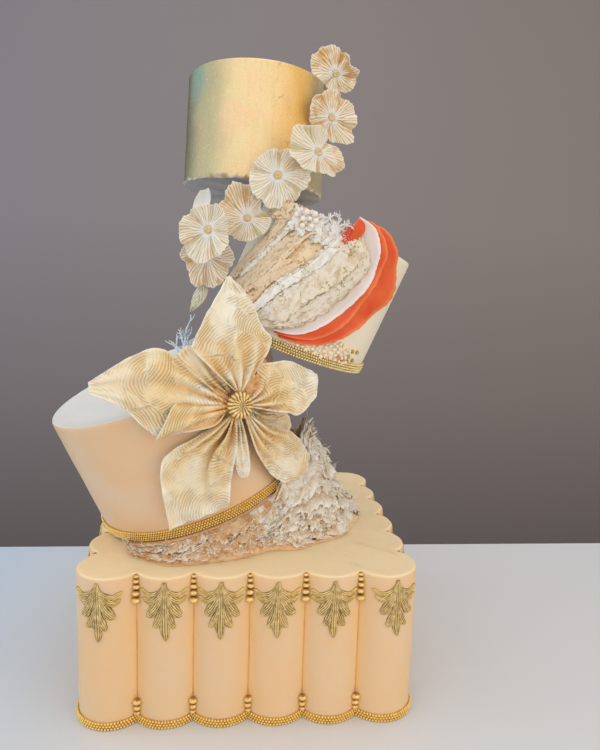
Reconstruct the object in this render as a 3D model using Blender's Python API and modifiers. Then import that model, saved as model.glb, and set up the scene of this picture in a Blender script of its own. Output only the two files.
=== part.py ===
"""Topsy-turvy celebration cake: a fluted base, three leaning round tiers, a fondant bow and wafer flowers.

Metres, +Z up. The origin is the centre of the base tier's underside, and the front faces -Y.
Angles on a tier are in degrees round its axis: -90 is the front, 0 the right, 180 the left.
"""

import math
import random
from collections import namedtuple

import bmesh
import bpy
from mathutils import Vector
from mathutils.geometry import delaunay_2d_cdt

MM = 0.001
GAP = 0.3 * MM  # clearance between pieces that touch

# Base tier: a square block whose walls are round columns
BASE_HEIGHT = 142.7 * MM
COLUMNS_PER_SIDE = 6
COLUMN_PITCH = 50 * MM
COLUMN_RADIUS = 30.5 * MM
BASE_EDGE = 2.5 * MM
SIDE_COLUMN_STEPS, CORNER_COLUMN_STEPS = 5, 9

# Pearl border round the foot, with a string of pearls up each crease
BORDER_HEIGHT = 8 * MM
BORDER_FOOT = 0.6 * MM  # the border stays clear of the table
BORDER_DEPTH = 3.1 * MM
TOP_DROP_RADII = [r * MM for r in (2.1, 2.5, 2.9, 3.3, 3.7)]
FOOT_DROP_RADII = [r * MM for r in (3.5, 3.1, 2.7)]
CREASE_LINE_RADIUS = 0.6 * MM
DROP_SIDES = 4

# Acanthus leaf, one on each column: half outline as (half width, distance below the top), in mm
LEAF_HALF = [
    (1.5, 0), (5, 8), (12, 15.5), (21.5, 12.5), (22, 16.5), (13.5, 23),
    (16, 32), (6.5, 31), (9.5, 43.5), (4.5, 46), (3.5, 53),
]
LEAF_RIBS = [(0, 8), (0, 20), (0, 32), (0, 42), (8, 20)]
LEAF_THICKNESS = 2.2 * MM
LEAF_GAP = 0.6 * MM
LEAF_DROP = 4 * MM
CORNER_LEAF_TURN = 14.0

# Leaning tiers
TIER_STEPS = 32
TIER_EDGE = 2 * MM
TRIM_DEPTH, TRIM_HEIGHT = 3 * MM, 10 * MM

DOWEL_RADIUS = 5 * MM
DOWEL_SIDES = 10

# Bow on tier 2
BOW_ANGLE, BOW_HEIGHT = -54.0, 103.8 * MM
BOW_STANDOFF = 16 * MM
BOW_FACING = Vector((0.319, -0.935, 0.154)).normalized()
BUTTON_RADIUS, BUTTON_STEM, BUTTON_DOME = 12 * MM, 5 * MM, 7 * MM
PETAL_THICKNESS = 1.3 * MM
PETAL_ROWS, PETAL_COLUMNS = 7, 4

SHEET_THICKNESS = 0.9 * MM
FLOWER_THICKNESS = 0.9 * MM
WIRE_RADIUS = 0.8 * MM


class Tier:
    """A round tier that leans, whose foot and head are cut at a slant to its axis."""

    def __init__(self, foot, lean, height, radii, foot_cut, head_cut):
        right, back = (math.radians(a) for a in lean)
        self.foot = Vector(foot)
        self.axis = Vector((
            math.sin(right),
            math.sin(back) * math.cos(right),
            math.cos(back) * math.cos(right),
        ))
        self.across = Vector((0, 1, 0)).cross(self.axis).normalized()
        self.back = self.axis.cross(self.across)
        self.height = height
        self.radii = radii
        self.cuts = [[math.tan(math.radians(a)) for a in cut] for cut in (foot_cut, head_cut)]

    def outward(self, angle):
        a = math.radians(angle)
        return self.across * math.cos(a) + self.back * math.sin(a)

    def radius(self, height):
        foot_radius, head_radius = self.radii
        return foot_radius + (head_radius - foot_radius) * height / self.height

    def at(self, angle, height, out=0.0):
        """The point at this angle and height on the side, or this far out from it."""
        return self.foot + self.axis * height + self.outward(angle) * (self.radius(height) + out)

    def cut_height(self, end, angle, radius):
        """Height of the slanted foot (end 0) or head (end 1) at this angle and distance from the axis."""
        a = math.radians(angle)
        slope_right, slope_back = self.cuts[end]
        rise = radius * (math.cos(a) * slope_right + math.sin(a) * slope_back)
        return rise + end * self.height

    def ring(self, end, inset, lift):
        """A ring of points beside the foot or the head: inset from the side, lifted along the axis."""
        points = []
        for i in range(TIER_STEPS):
            angle = 360 * i / TIER_STEPS
            height = self.cut_height(end, angle, self.radii[end]) + lift
            points.append(self.at(angle, height, -inset))
        return points

    def height_over(self, end, x, y):
        """World height of the slanted foot or head plane above the point (x, y)."""
        slope_right, slope_back = self.cuts[end]
        normal = self.axis - self.across * slope_right - self.back * slope_back
        origin = self.foot + self.axis * (end * self.height)
        return origin.z - (normal.x * (x - origin.x) + normal.y * (y - origin.y)) / normal.z


TIER_2 = Tier((-0.0529, -0.0064, 0.1794), (-18.3, -7.3), 0.128, (0.1050, 0.1160), (0, 0), (2.1, 0))
TIER_3 = Tier((0.0356, -0.0102, 0.3350), (22.9, -3.8), 0.1292, (0.0808, 0.0803), (4.0, -0.8), (-1.2, 0.7))
TIER_4 = Tier((-0.0029, -0.0009, 0.4886), (1.9, 4.1), 0.1064, (0.0705, 0.0697), (-1.6, 0.9), (-0.1, -0.9))

# Pearls pressed on tier 3: (angle, height in mm, radius in mm)
TIER_3_PEARLS = [
    (-126, 124, 2.8), (-121, 121, 3.0), (-116.5, 124.5, 2.6), (-112, 122, 2.8), (-107.5, 124, 2.4),
    (-47, 26, 1.7), (-40, 27, 1.7), (-48, 20, 1.7), (-41, 18, 1.7), (-53.5, 18, 1.7), (-57.5, 17, 1.7),
]

# Sheets laid over tier 3, each between an inner and an outer edge of (angle, height in mm).
# Layer says how many sheets lie under it, and lift how far its outer edge stands off, in mm.
Sheet = namedtuple("Sheet", "name inner outer layer lift wave colour")
TIER_3_SHEETS = [
    Sheet("ruffle_coral_outer",
          [(-84, 134), (-70, 124), (-66, 105), (-70, 78), (-80, 45), (-90, 24), (-104, 14)],
          [(-86, 138), (-68, 142), (-50, 124), (-39, 92), (-54, 53), (-76, 21), (-102, 12)],
          0, 5, 1.0, (0.85, 0.21, 0.07)),
    Sheet("ruffle_coral_inner",
          [(-86, 135), (-77, 122), (-75, 103), (-79, 76), (-89, 44), (-98, 26), (-108, 17)],
          [(-87, 140), (-74, 141), (-60, 120), (-60, 92), (-64, 58), (-80, 25), (-106, 14)],
          1, 5, 0.8, (0.88, 0.24, 0.08)),
    Sheet("ruffle_white",
          [(-89, 134), (-82, 118), (-82, 100), (-87, 75), (-95, 46), (-103, 28), (-112, 20)],
          [(-88, 142), (-74, 137), (-65, 115), (-64, 88), (-75, 50), (-91, 23), (-112, 15)],
          2, 3.5, 0.5, (0.86, 0.80, 0.72)),
    Sheet("lace_cream",
          [(-88, 127), (-93, 105), (-97, 86), (-106, 68), (-113, 48), (-118, 28), (-121, 18)],
          [(-83, 126), (-70, 110), (-71, 90), (-79, 61), (-92, 32), (-107, 18), (-118, 14)],
          4, 1.5, 0.5, (0.72, 0.62, 0.45)),
    Sheet("band_peach",
          [(-104, 118), (-114, 103), (-121, 84), (-126, 66), (-132, 48), (-138, 36), (-143, 28)],
          [(-91, 118), (-94, 104), (-99, 85), (-107, 68), (-115, 48), (-120, 30), (-125, 18)],
          1, 3, 0.6, (0.86, 0.62, 0.40)),
    Sheet("lace_left",
          [(-133, 116), (-137, 98), (-143, 82), (-149, 68), (-155, 56), (-162, 46), (-168, 38)],
          [(-107, 116), (-115, 104), (-122, 85), (-127, 67), (-134, 48), (-140, 36), (-146, 28)],
          0, 3, 0.9, (0.74, 0.66, 0.52)),
]

# Bow petals, flat outline in mm as (along, across) for the left and the right edge.
# Turn is the direction round the bow, lean how far the tip tilts back, depth the layer along the axis in mm.
Petal = namedtuple("Petal", "name turn lean depth arch left right")
PETALS = [
    Petal("petal_top", 95, -3, 0, 3,
          [(12, 1), (26, 14), (51, 35), (58, 36), (74, 27), (96, 11), (113, -1)],
          [(11, -4), (24, -16), (45, -32), (57, -36), (64, -30), (79, -25), (98, -16), (113, -4)]),
    Petal("petal_right", 15, 5, 0, 5,
          [(9, 1), (21, 12), (28, 28), (44, 27), (61, 22), (86, 3)],
          [(9, -4), (25, -13), (43, -21), (52, -26), (67, -21), (78, -14), (85, -2)]),
    Petal("petal_small", -20, 22, -7, 2,
          [(12, 2), (36, 2), (63, 8), (77, 1)],
          [(13, -2), (29, -12), (53, -19), (77, -9)]),
    Petal("petal_lower_right", -50, 24, 0, 5,
          [(14, 3), (40, 12), (65, 27), (86, 31), (105, 26), (117, 14)],
          [(14, -1), (46, -12), (75, -14), (93, -12), (109, -6), (118, 10)]),
    Petal("petal_bottom", -85, 12, -4, 2,
          [(11, 2), (34, 7), (55, 9), (70, 6)],
          [(11, -2), (32, -5), (52, -6), (69, -1)]),
    Petal("petal_lower_left", -118, 15, 0, 5,
          [(11, 3), (29, 14), (51, 23), (73, 32), (89, 39)],
          [(11, -2), (33, -14), (63, -34), (79, -35), (98, -23), (129, 1)]),
    Petal("petal_left", 175, 6, 0, 6,
          [(10, 4), (21, 19), (50, 26), (68, 30), (79, 23), (99, 6), (125, -5)],
          [(10, -3), (39, -24), (62, -41), (77, -45), (93, -36), (115, -19), (128, -9)]),
    Petal("petal_upper_left", 135, -2, -6.5, 0,
          [(12, 2), (35, 8), (65, 9), (69, 2)],
          [(12, -3), (31, -7), (55, -12), (68, -5)]),
    Petal("petal_upper_right", 72, 6, -5, 3,
          [(12, 1), (27, 4), (45, 5), (52, -3)],
          [(12, -4), (23, -16), (40, -19), (52, -10)]),
]

# Wafer flowers: centre, facing as (turn from the front towards the right, tilt up), and the
# petals' reach in mm at every 36 degrees, starting at the right
Flower = namedtuple("Flower", "name centre facing reach cup")
FLOWERS = [
    Flower("flower_1", (0.0761, -0.020, 0.6047), (1, -17), (24, 16, 22, 26, 30, 24, 16, 15, 18, 22), 3),
    Flower("flower_2", (0.0699, -0.045, 0.5566), (20, -12), (24, 24, 24, 25, 28, 25, 21, 19, 23, 32), 3),
    Flower("flower_3", (0.0540, -0.086, 0.5165), (20, -10), (24, 14, 17, 23, 32, 28, 22, 18, 19, 30), 3),
    Flower("flower_4", (0.0184, -0.0792, 0.4957), (2, -9), (30, 28, 24, 23, 23, 26, 28, 30, 29, 28), 4),
    Flower("flower_5", (-0.0083, -0.068, 0.4575), (0, -5), (23, 15, 28, 35, 30, 27, 26, 22, 21, 21), 3),
    Flower("flower_6", (-0.0435, -0.087, 0.4440), (-3, -4), (18, 20, 25, 22, 24, 26, 29, 31, 26, 22), 4),
    Flower("flower_7", (-0.0460, -0.062, 0.4215), (-4, -2), (26, 23, 18, 17, 21, 25, 22, 31, 30, 26), 3),
]
FLOWER_STEPS = 15
FLOWER_BUTTON_RISE = 2 * MM
SMALL_LEAF_BASE, SMALL_LEAF_TIP = Vector((-0.0490, -0.0570, 0.3935)), Vector((-0.0617, -0.0600, 0.3689))
SMALL_LEAF_WIDTH = 12 * MM

# Coral-like sprigs: root, direction and height in mm
Sprig = namedtuple("Sprig", "name root height spread")
SPRIGS = [
    Sprig("sprig_left", (-0.0770, 0.0, 0.3118), 46, 0.30),
    Sprig("sprig_right", TIER_3.at(-97, 125 * MM, 3.6 * MM), 17, 0.75),
]
SPRIG_ARMS = 4

# Crumpled lace on the base tier, filling the wedge under tier 2
LACE_STEPS = 30
LACE_SEED = 7
SHADOW = (104 * MM, 108.5 * MM)  # half axes of tier 2's foot seen from above
LACE_TOE = [  # (direction from the foot of tier 2, reach in mm)
    (-180, 70), (-150, 76), (-132, 98), (-118, 119), (-100, 127), (-77, 120), (-54, 119), (-38, 140),
    (-15, 165), (0, 177), (20, 186), (45, 172), (70, 132), (100, 122), (125, 112), (150, 80),
]
LACE_CREST = [  # (direction, height in mm above the base tier at the side of tier 2)
    (-180, 2), (-150, 3), (-132, 4), (-118, 8), (-100, 14), (-77, 24), (-54, 38), (-38, 72),
    (-15, 108), (0, 112), (20, 104), (45, 88), (70, 60), (100, 32), (125, 10), (150, 3),
]


def clear_scene():
    for obj in list(bpy.data.objects):
        bpy.data.objects.remove(obj, do_unlink=True)


def make_collection(name):
    collection = bpy.data.collections.new(name)
    bpy.context.scene.collection.children.link(collection)
    return collection


def make_material(name, colour, roughness, metallic=0.0):
    material = bpy.data.materials.get(name) or bpy.data.materials.new(name)
    material.use_nodes = True
    shader = material.node_tree.nodes["Principled BSDF"]
    shader.inputs["Base Color"].default_value = (*colour, 1)
    shader.inputs["Roughness"].default_value = roughness
    shader.inputs["Metallic"].default_value = metallic
    return material


def finish(obj, material, sharp_angle=35):
    obj.data.materials.clear()
    obj.data.materials.append(material)
    obj.data.shade_smooth()
    obj.data.set_sharp_from_angle(angle=math.radians(sharp_angle))
    return obj


def object_from(name, bm, material):
    mesh = bpy.data.meshes.new(name)
    bm.to_mesh(mesh)
    bm.free()
    obj = bpy.data.objects.new(name, mesh)
    CAKE.objects.link(obj)
    return finish(obj, material)


def spline(points, t):
    """Catmull-Rom curve through the points, at t from 0 to 1."""
    last = len(points) - 1
    place = min(max(t, 0.0), 1.0) * last
    i = min(int(place), last - 1)
    f = place - i
    p0, p1, p2, p3 = (Vector(points[min(max(k, 0), last)]) for k in (i - 1, i, i + 1, i + 2))
    return 0.5 * (2 * p1 + (p2 - p0) * f + (2 * p0 - 5 * p1 + 4 * p2 - p3) * f**2
                  + (3 * p1 - p0 - 3 * p2 + p3) * f**3)


def round_value(table, angle):
    """Smooth periodic value at an angle, from (angle, value) pairs in rising order."""
    count = len(table)
    angles = [a for a, _ in table]
    angle = (angle - angles[0]) % 360 + angles[0]
    i = max(k for k in range(count) if angles[k] <= angle)
    following = angles[(i + 1) % count] + (360 if i + 1 == count else 0)
    f = (angle - angles[i]) / (following - angles[i])
    f = f * f * (3 - 2 * f)
    return table[i][1] * (1 - f) + table[(i + 1) % count][1] * f


def loft(name, rings, material, closed=False):
    """Solid through rings of equal count: capped at both ends, or closed into a loop."""
    bm = bmesh.new()
    rows = [[bm.verts.new(p) for p in ring] for ring in rings]
    count = len(rows[0])
    pairs = list(zip(rows, rows[1:])) + ([(rows[-1], rows[0])] if closed else [])
    for lower, upper in pairs:
        for i in range(count):
            j = (i + 1) % count
            bm.faces.new((lower[i], lower[j], upper[j], upper[i]))
    if not closed:
        bm.faces.new(list(reversed(rows[0])))
        bm.faces.new(rows[-1])
    bmesh.ops.recalc_face_normals(bm, faces=bm.faces)
    return object_from(name, bm, material)


def thicken(obj, thickness):
    solidify = obj.modifiers.new("thickness", "SOLIDIFY")
    solidify.thickness = thickness
    solidify.offset = 0
    solidify.use_even_offset = False
    return obj


def sheet(name, rows, thickness, material, middle=None):
    """Thin wavy solid over rows of points, both faces split into the same triangles.

    With a middle point the rows are rings round it."""
    bm = bmesh.new()
    grid = [[bm.verts.new(p) for p in row] for row in rows]
    for upper, lower in zip(grid, grid[1:]):
        for i in range(len(upper) if middle else len(upper) - 1):
            j = (i + 1) % len(upper)
            bm.faces.new((upper[i], upper[j], lower[j], lower[i]))
    if middle:
        hub = bm.verts.new(middle)
        for i, vert in enumerate(grid[0]):
            bm.faces.new((hub, grid[0][(i + 1) % len(grid[0])], vert))
    bmesh.ops.triangulate(bm, faces=bm.faces)
    return thicken(object_from(name, bm, material), thickness)


def evaluated_copy(obj):
    """Applies the object's modifiers."""
    bpy.context.view_layer.update()
    graph = bpy.context.evaluated_depsgraph_get()
    mesh = bpy.data.meshes.new_from_object(obj.evaluated_get(graph))
    obj.modifiers.clear()
    obj.data = mesh


def unite(target, pieces, solver="EXACT"):
    """Fuses the pieces onto the target and removes them."""
    group = make_collection(target.name + "_pieces")
    for piece in pieces:
        CAKE.objects.unlink(piece)
        group.objects.link(piece)
    union = target.modifiers.new("union", "BOOLEAN")
    union.operation = "UNION"
    union.operand_type = "COLLECTION"
    union.collection = group
    union.solver = solver
    evaluated_copy(target)
    for piece in pieces:
        bpy.data.objects.remove(piece, do_unlink=True)
    bpy.data.collections.remove(group)


def column_centres():
    """Centres of the base tier's columns, anticlockwise from the front left corner."""
    half = COLUMN_PITCH * (COLUMNS_PER_SIDE - 1) / 2
    corners = [Vector((-half, -half)), Vector((half, -half)), Vector((half, half)), Vector((-half, half))]
    centres = []
    for side in range(4):
        start, end = corners[side], corners[(side + 1) % 4]
        centres += [start.lerp(end, i / (COLUMNS_PER_SIDE - 1)) for i in range(COLUMNS_PER_SIDE - 1)]
    return centres


def crease(centre, following, radius):
    """Where the outlines of two neighbouring columns meet, and the direction that faces out there."""
    along = (following - centre).normalized()
    outward = Vector((along.y, -along.x))
    depth = math.sqrt(radius**2 - (COLUMN_PITCH / 2) ** 2)
    return (centre + following) / 2 + outward * depth, outward


def base_outline(offset, height):
    """The fluted outline of the base tier, moved out by an offset."""
    radius = COLUMN_RADIUS + offset
    centres = column_centres()
    points = []
    for i, centre in enumerate(centres):
        start = crease(centres[i - 1], centre, radius)[0] - centre
        end = crease(centre, centres[(i + 1) % len(centres)], radius)[0] - centre
        steps = CORNER_COLUMN_STEPS if i % (COLUMNS_PER_SIDE - 1) == 0 else SIDE_COLUMN_STEPS
        first = math.atan2(start.y, start.x)
        sweep = (math.atan2(end.y, end.x) - first) % math.tau
        for k in range(steps):
            a = first + sweep * k / steps
            points.append(Vector((*(centre + radius * Vector((math.cos(a), math.sin(a)))), height)))
    return points


def make_base_tier(material):
    profile = [(0, 0), (0, BASE_HEIGHT - BASE_EDGE), (-0.3 * BASE_EDGE, BASE_HEIGHT - 0.3 * BASE_EDGE),
               (-BASE_EDGE, BASE_HEIGHT)]
    loft("base_tier", [base_outline(out, height) for out, height in profile], material)


def drop_rings():
    """(height, radius) down a crease: a drop of pearls, a thin line, and a drop on the border."""
    rings = []
    height = BASE_HEIGHT - 0.5 * MM
    rings.append((height, 0.5 * TOP_DROP_RADII[0]))
    for i, radius in enumerate(TOP_DROP_RADII):
        rings.append((height - radius, radius))
        height -= 1.85 * radius
        rings.append((height, 0.6 * radius))
    rings.append((height - 2 * MM, CREASE_LINE_RADIUS))
    height = BORDER_HEIGHT - 1 * MM + 1.85 * sum(FOOT_DROP_RADII)
    rings.append((height + 2 * MM, CREASE_LINE_RADIUS))
    for radius in FOOT_DROP_RADII:
        rings.append((height, 0.6 * radius))
        rings.append((height - radius, radius))
        height -= 1.85 * radius
    rings.append((height - 3 * MM, 0.5 * FOOT_DROP_RADII[-1]))
    return rings


def make_drop(name, centre, following, material):
    """One string of pearls, which rests in the groove between two columns."""
    point, outward = crease(centre, following, COLUMN_RADIUS)
    across = Vector((-outward.y, outward.x))
    groove = math.sqrt(COLUMN_RADIUS**2 - (COLUMN_PITCH / 2) ** 2)
    rings = []
    for height, radius in drop_rings():
        reach = math.sqrt((COLUMN_RADIUS + radius + GAP) ** 2 - (COLUMN_PITCH / 2) ** 2) - groove
        middle = point + outward * reach
        ring = []
        for k in range(DROP_SIDES):
            a = math.tau * (k + 0.25) / DROP_SIDES
            flat = middle + radius * (math.cos(a) * outward + math.sin(a) * across)
            ring.append(Vector((*flat, height)))
        rings.append(ring)
    return loft(name, rings, material)


def make_base_border(material):
    profile = [(GAP, BORDER_FOOT), (0.8 * BORDER_DEPTH, BORDER_FOOT), (BORDER_DEPTH, 0.5 * BORDER_HEIGHT),
               (0.8 * BORDER_DEPTH, BORDER_HEIGHT), (GAP, BORDER_HEIGHT)]
    border = loft("base_border", [base_outline(out, height) for out, height in profile], material, closed=True)
    centres = column_centres()
    drops = [
        make_drop(f"drop_{i}", centre, centres[(i + 1) % len(centres)], material)
        for i, centre in enumerate(centres)
    ]
    unite(border, drops)
    finish(border, material)


def make_leaf_mesh(material):
    """An acanthus leaf bent round a column that faces -Y, its top at the origin's height."""
    outline = LEAF_HALF + [(-x, y) for x, y in reversed(LEAF_HALF)]
    ribs = LEAF_RIBS + [(-x, y) for x, y in LEAF_RIBS if x]
    points = [Vector(p) for p in outline + ribs]
    rim = [list(range(len(outline)))]
    flat, _, faces, *_ = delaunay_2d_cdt(points, [], rim, 1, 1e-5)
    bm = bmesh.new()
    radius = COLUMN_RADIUS + LEAF_GAP + LEAF_THICKNESS / 2
    verts = []
    for x, y in flat:
        a = x * MM / radius
        verts.append(bm.verts.new((radius * math.sin(a), -radius * math.cos(a), -y * MM)))
    for face in faces:
        bm.faces.new([verts[i] for i in face])
    bmesh.ops.recalc_face_normals(bm, faces=bm.faces)
    mesh = bpy.data.meshes.new("leaf")
    bm.to_mesh(mesh)
    bm.free()
    mesh.materials.append(material)
    mesh.shade_smooth()
    mesh.set_sharp_from_angle(angle=math.radians(35))
    return mesh


def leaf_turn(index):
    """The turn in degrees of the leaf on a column: 0 faces the front. Corner leaves face front or back."""
    side, place = divmod(index, COLUMNS_PER_SIDE - 1)
    if place:
        return 90 * side
    return (-CORNER_LEAF_TURN, CORNER_LEAF_TURN, 180 - CORNER_LEAF_TURN, 180 + CORNER_LEAF_TURN)[side]


def make_leaves(material):
    mesh = make_leaf_mesh(material)
    for i, centre in enumerate(column_centres()):
        leaf = bpy.data.objects.new(f"leaf_{i + 1:02d}", mesh)
        CAKE.objects.link(leaf)
        leaf.location = (*centre, BASE_HEIGHT - LEAF_DROP)
        leaf.rotation_euler.z = math.radians(leaf_turn(i))
        thicken(leaf, LEAF_THICKNESS)


def make_tier(name, tier, material):
    rings = [
        tier.ring(0, 0.5 * TIER_EDGE, 0),
        tier.ring(0, 0, 0.5 * TIER_EDGE),
        tier.ring(1, 0, -TIER_EDGE),
        tier.ring(1, 0.3 * TIER_EDGE, -0.3 * TIER_EDGE),
        tier.ring(1, TIER_EDGE, 0),
    ]
    return loft(name, rings, material)


def make_trim(name, tier, material):
    profile = [(GAP, 0), (0.85 * TRIM_DEPTH, 0), (TRIM_DEPTH, 0.5 * TRIM_HEIGHT),
               (0.85 * TRIM_DEPTH, TRIM_HEIGHT), (GAP, TRIM_HEIGHT)]
    rings = [tier.ring(0, -out, up) for out, up in profile]
    loft(name, rings, material, closed=True)


def make_pearls(tier, pearls, material):
    found = []
    for angle, height, radius in pearls:
        bm = bmesh.new()
        bmesh.ops.create_icosphere(bm, subdivisions=1, radius=radius * MM)
        pearl = object_from("pearl", bm, material)
        pearl.location = tier.at(angle, height * MM, 0.4 * radius * MM)
        found.append(pearl)
    return found


def make_dowel(name, below, above, x, y, material):
    """A round stub between the slanted head of one tier and the slanted foot of the next."""
    rings = []
    for tier, end, clearance in ((below, 1, GAP), (above, 0, -GAP)):
        ring = []
        for k in range(DOWEL_SIDES):
            a = math.tau * k / DOWEL_SIDES
            px, py = x + DOWEL_RADIUS * math.cos(a), y + DOWEL_RADIUS * math.sin(a)
            ring.append(Vector((px, py, tier.height_over(end, px, py) + clearance)))
        rings.append(ring)
    loft(name, rings, material)


def sheet_point(item, s, t):
    """Point of a sheet on tier 3, s from one end to the other, t from the inner to the outer edge."""
    angle, height = spline(item.inner, s).lerp(spline(item.outer, s), t)
    swell = math.sin(math.pi * s) ** 0.6
    ripple = item.wave * math.sin(9 * math.pi * s) * swell * t
    out = 0.9 + 1.5 * item.layer + (item.lift * swell + ripple) * t
    return TIER_3.at(angle, height * MM, out * MM)


def make_tier_3_sheets():
    steps_along, steps_across = 10, 2
    for item in TIER_3_SHEETS:
        rows = [
            [sheet_point(item, 0.01 + 0.98 * i / steps_along, j / steps_across) for j in range(steps_across + 1)]
            for i in range(steps_along + 1)
        ]
        material = make_material(item.name, item.colour, 0.6)
        sheet(item.name, rows, SHEET_THICKNESS, material)


def bow_axes():
    across = Vector((0, 0, 1)).cross(BOW_FACING).normalized()
    return across, BOW_FACING.cross(across)


def bow_centre():
    return TIER_2.at(BOW_ANGLE, BOW_HEIGHT) + BOW_FACING * BOW_STANDOFF


def petal_frame(petal):
    """Directions along, across and out of a petal."""
    right, up = bow_axes()
    turn, lean = math.radians(petal.turn), math.radians(petal.lean)
    flat = right * math.cos(turn) + up * math.sin(turn)
    across = up * math.cos(turn) - right * math.sin(turn)
    along = flat * math.cos(lean) - BOW_FACING * math.sin(lean)
    return along, across, along.cross(across)


def petal_point(petal, s, t):
    """Point of a bow petal, s from the button to the tip, t from the left edge to the right."""
    along, across, out = petal_frame(petal)
    flat = spline(petal.left, s).lerp(spline(petal.right, s), t)
    pleat = 1.6 * (1 - s) ** 2 * math.cos(math.tau * t)
    rise = petal.depth + petal.arch * math.sin(math.pi * s) + pleat
    return bow_centre() + (along * flat.x + across * flat.y + out * rise) * MM


def make_bow(material, button_material):
    for petal in PETALS:
        rows = [
            [petal_point(petal, i / PETAL_ROWS, j / PETAL_COLUMNS) for j in range(PETAL_COLUMNS + 1)]
            for i in range(PETAL_ROWS + 1)
        ]
        sheet(petal.name, rows, PETAL_THICKNESS, material)
    right, up = bow_axes()
    stem_end = -(BOW_STANDOFF - 3 * MM)
    profile = [(stem_end, 0.7 * BUTTON_STEM), (-7 * MM, BUTTON_STEM), (3.5 * MM, BUTTON_STEM),
               (4.5 * MM, BUTTON_RADIUS), (6 * MM, BUTTON_RADIUS),
               (0.75 * BUTTON_DOME + 3 * MM, 0.7 * BUTTON_RADIUS), (BUTTON_DOME + 3 * MM, 0.25 * BUTTON_RADIUS)]
    rings = []
    for rise, radius in profile:
        ring = []
        for k in range(12):
            a = math.tau * k / 12
            ring.append(bow_centre() + BOW_FACING * rise + radius * (right * math.cos(a) + up * math.sin(a)))
        rings.append(ring)
    loft("bow_button", rings, button_material)


def facing_axes(facing):
    """Right, up and outward directions of a flower."""
    turn, tilt = (math.radians(a) for a in facing)
    out = Vector((math.sin(turn) * math.cos(tilt), -math.cos(turn) * math.cos(tilt), math.sin(tilt)))
    right = Vector((0, 0, 1)).cross(out).normalized()
    return right, out.cross(right), out


def flower_point(flower, angle, reach):
    """Point of a flower at an angle in degrees, reach from 0 at the button to 1 at the edge."""
    right, up, out = facing_axes(flower.facing)
    edge = round_value([(36 * i, r) for i, r in enumerate(flower.reach)], angle)
    a = math.radians(angle)
    rise = flower.cup * reach**2 + 1.5 * reach**2 * math.sin(3 * a)
    radial = right * math.cos(a) + up * math.sin(a)
    return Vector(flower.centre) + (radial * edge * reach + out * rise) * MM


def make_flowers(material):
    for flower in FLOWERS:
        rows = [
            [flower_point(flower, 360 * k / FLOWER_STEPS, reach) for k in range(FLOWER_STEPS)]
            for reach in (0.25, 1.0)
        ]
        hub = Vector(flower.centre) + facing_axes(flower.facing)[2] * FLOWER_BUTTON_RISE
        sheet(flower.name, rows, FLOWER_THICKNESS, material, middle=hub)


def make_small_leaf(material):
    along = SMALL_LEAF_TIP - SMALL_LEAF_BASE
    across = along.cross(Vector((0, 1, 0))).normalized()
    rows = []
    for s, width in ((0, 0.15), (0.3, 0.9), (0.6, 0.85), (1, 0.1)):
        middle = SMALL_LEAF_BASE + along * s
        rows.append([
            middle + across * (0.5 * width * side * SMALL_LEAF_WIDTH) - Vector((0, 1.5 * MM * abs(side) * width, 0))
            for side in (-1, 0, 1)
        ])
    sheet("small_leaf", rows, SHEET_THICKNESS, material)


def wire_route():
    """Behind the flowers from the first to the last, lying on the gold tier beside the fourth."""
    def behind(index, distance=2.2 * MM):
        flower = FLOWERS[index]
        return Vector(flower.centre) - facing_axes(flower.facing)[2] * distance

    hug = WIRE_RADIUS + GAP
    return [
        behind(0), behind(0, 9 * MM) - Vector((0, 0, 0.014)), behind(1, 6 * MM) + Vector((0, 0, 0.012)), behind(1),
        behind(1, 10 * MM) - Vector((0, 0, 0.020)), behind(2, 9 * MM) + Vector((0, 0, 0.008)), behind(2),
        TIER_4.at(-58, 10 * MM, hug), behind(3), Vector((0.008, -0.064, 0.479)), behind(4),
        Vector((-0.030, -0.060, 0.453)), Vector((-0.043, -0.067, 0.449)), behind(5),
        Vector((-0.045, -0.070, 0.446)), Vector((-0.047, -0.057, 0.441)), behind(6),
        SMALL_LEAF_BASE + Vector((0, 0.004, 0.012)), SMALL_LEAF_BASE + Vector((0, 0.0022, 0)),
    ]


def make_wire(material):
    route = wire_route()
    curve = bpy.data.curves.new("flower_wire", "CURVE")
    curve.dimensions = "3D"
    curve.bevel_depth = WIRE_RADIUS
    curve.bevel_resolution = 1
    curve.use_fill_caps = True
    path = curve.splines.new("POLY")
    count = round(1.5 * (len(route) - 1)) + 1
    path.points.add(count - 1)
    for i, point in enumerate(path.points):
        point.co = (*spline(route, i / (count - 1)), 1)
    wire = bpy.data.objects.new("flower_wire", curve)
    CAKE.objects.link(wire)
    curve.materials.append(material)


def make_sprig(sprig, material):
    """A tuft of tapering arms that grow from one root."""
    root = Vector(sprig.root)
    bm = bmesh.new()
    bmesh.ops.create_icosphere(bm, subdivisions=1, radius=2.4 * MM)
    knot = object_from(sprig.name, bm, material)
    knot.location = root
    arms = []
    for k in range(SPRIG_ARMS):
        a = math.tau * (k + 0.3) / SPRIG_ARMS
        spread = sprig.spread * (0.4 if k == 0 else 1)
        direction = Vector((spread * math.cos(a), spread * math.sin(a), 1)).normalized()
        length = sprig.height * MM * (1.0 if k == 0 else 0.6 + 0.08 * k)
        bm = bmesh.new()
        bmesh.ops.create_cone(bm, cap_ends=True, segments=4, radius1=1.4 * MM, radius2=0.5 * MM, depth=length)
        arm = object_from(f"arm_{k}", bm, material)
        arm.rotation_mode = "QUATERNION"
        arm.rotation_quaternion = direction.to_track_quat("Z", "Y")
        arm.location = root + direction * length / 2
        arms.append(arm)
    unite(knot, arms)
    finish(knot, material)


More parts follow.
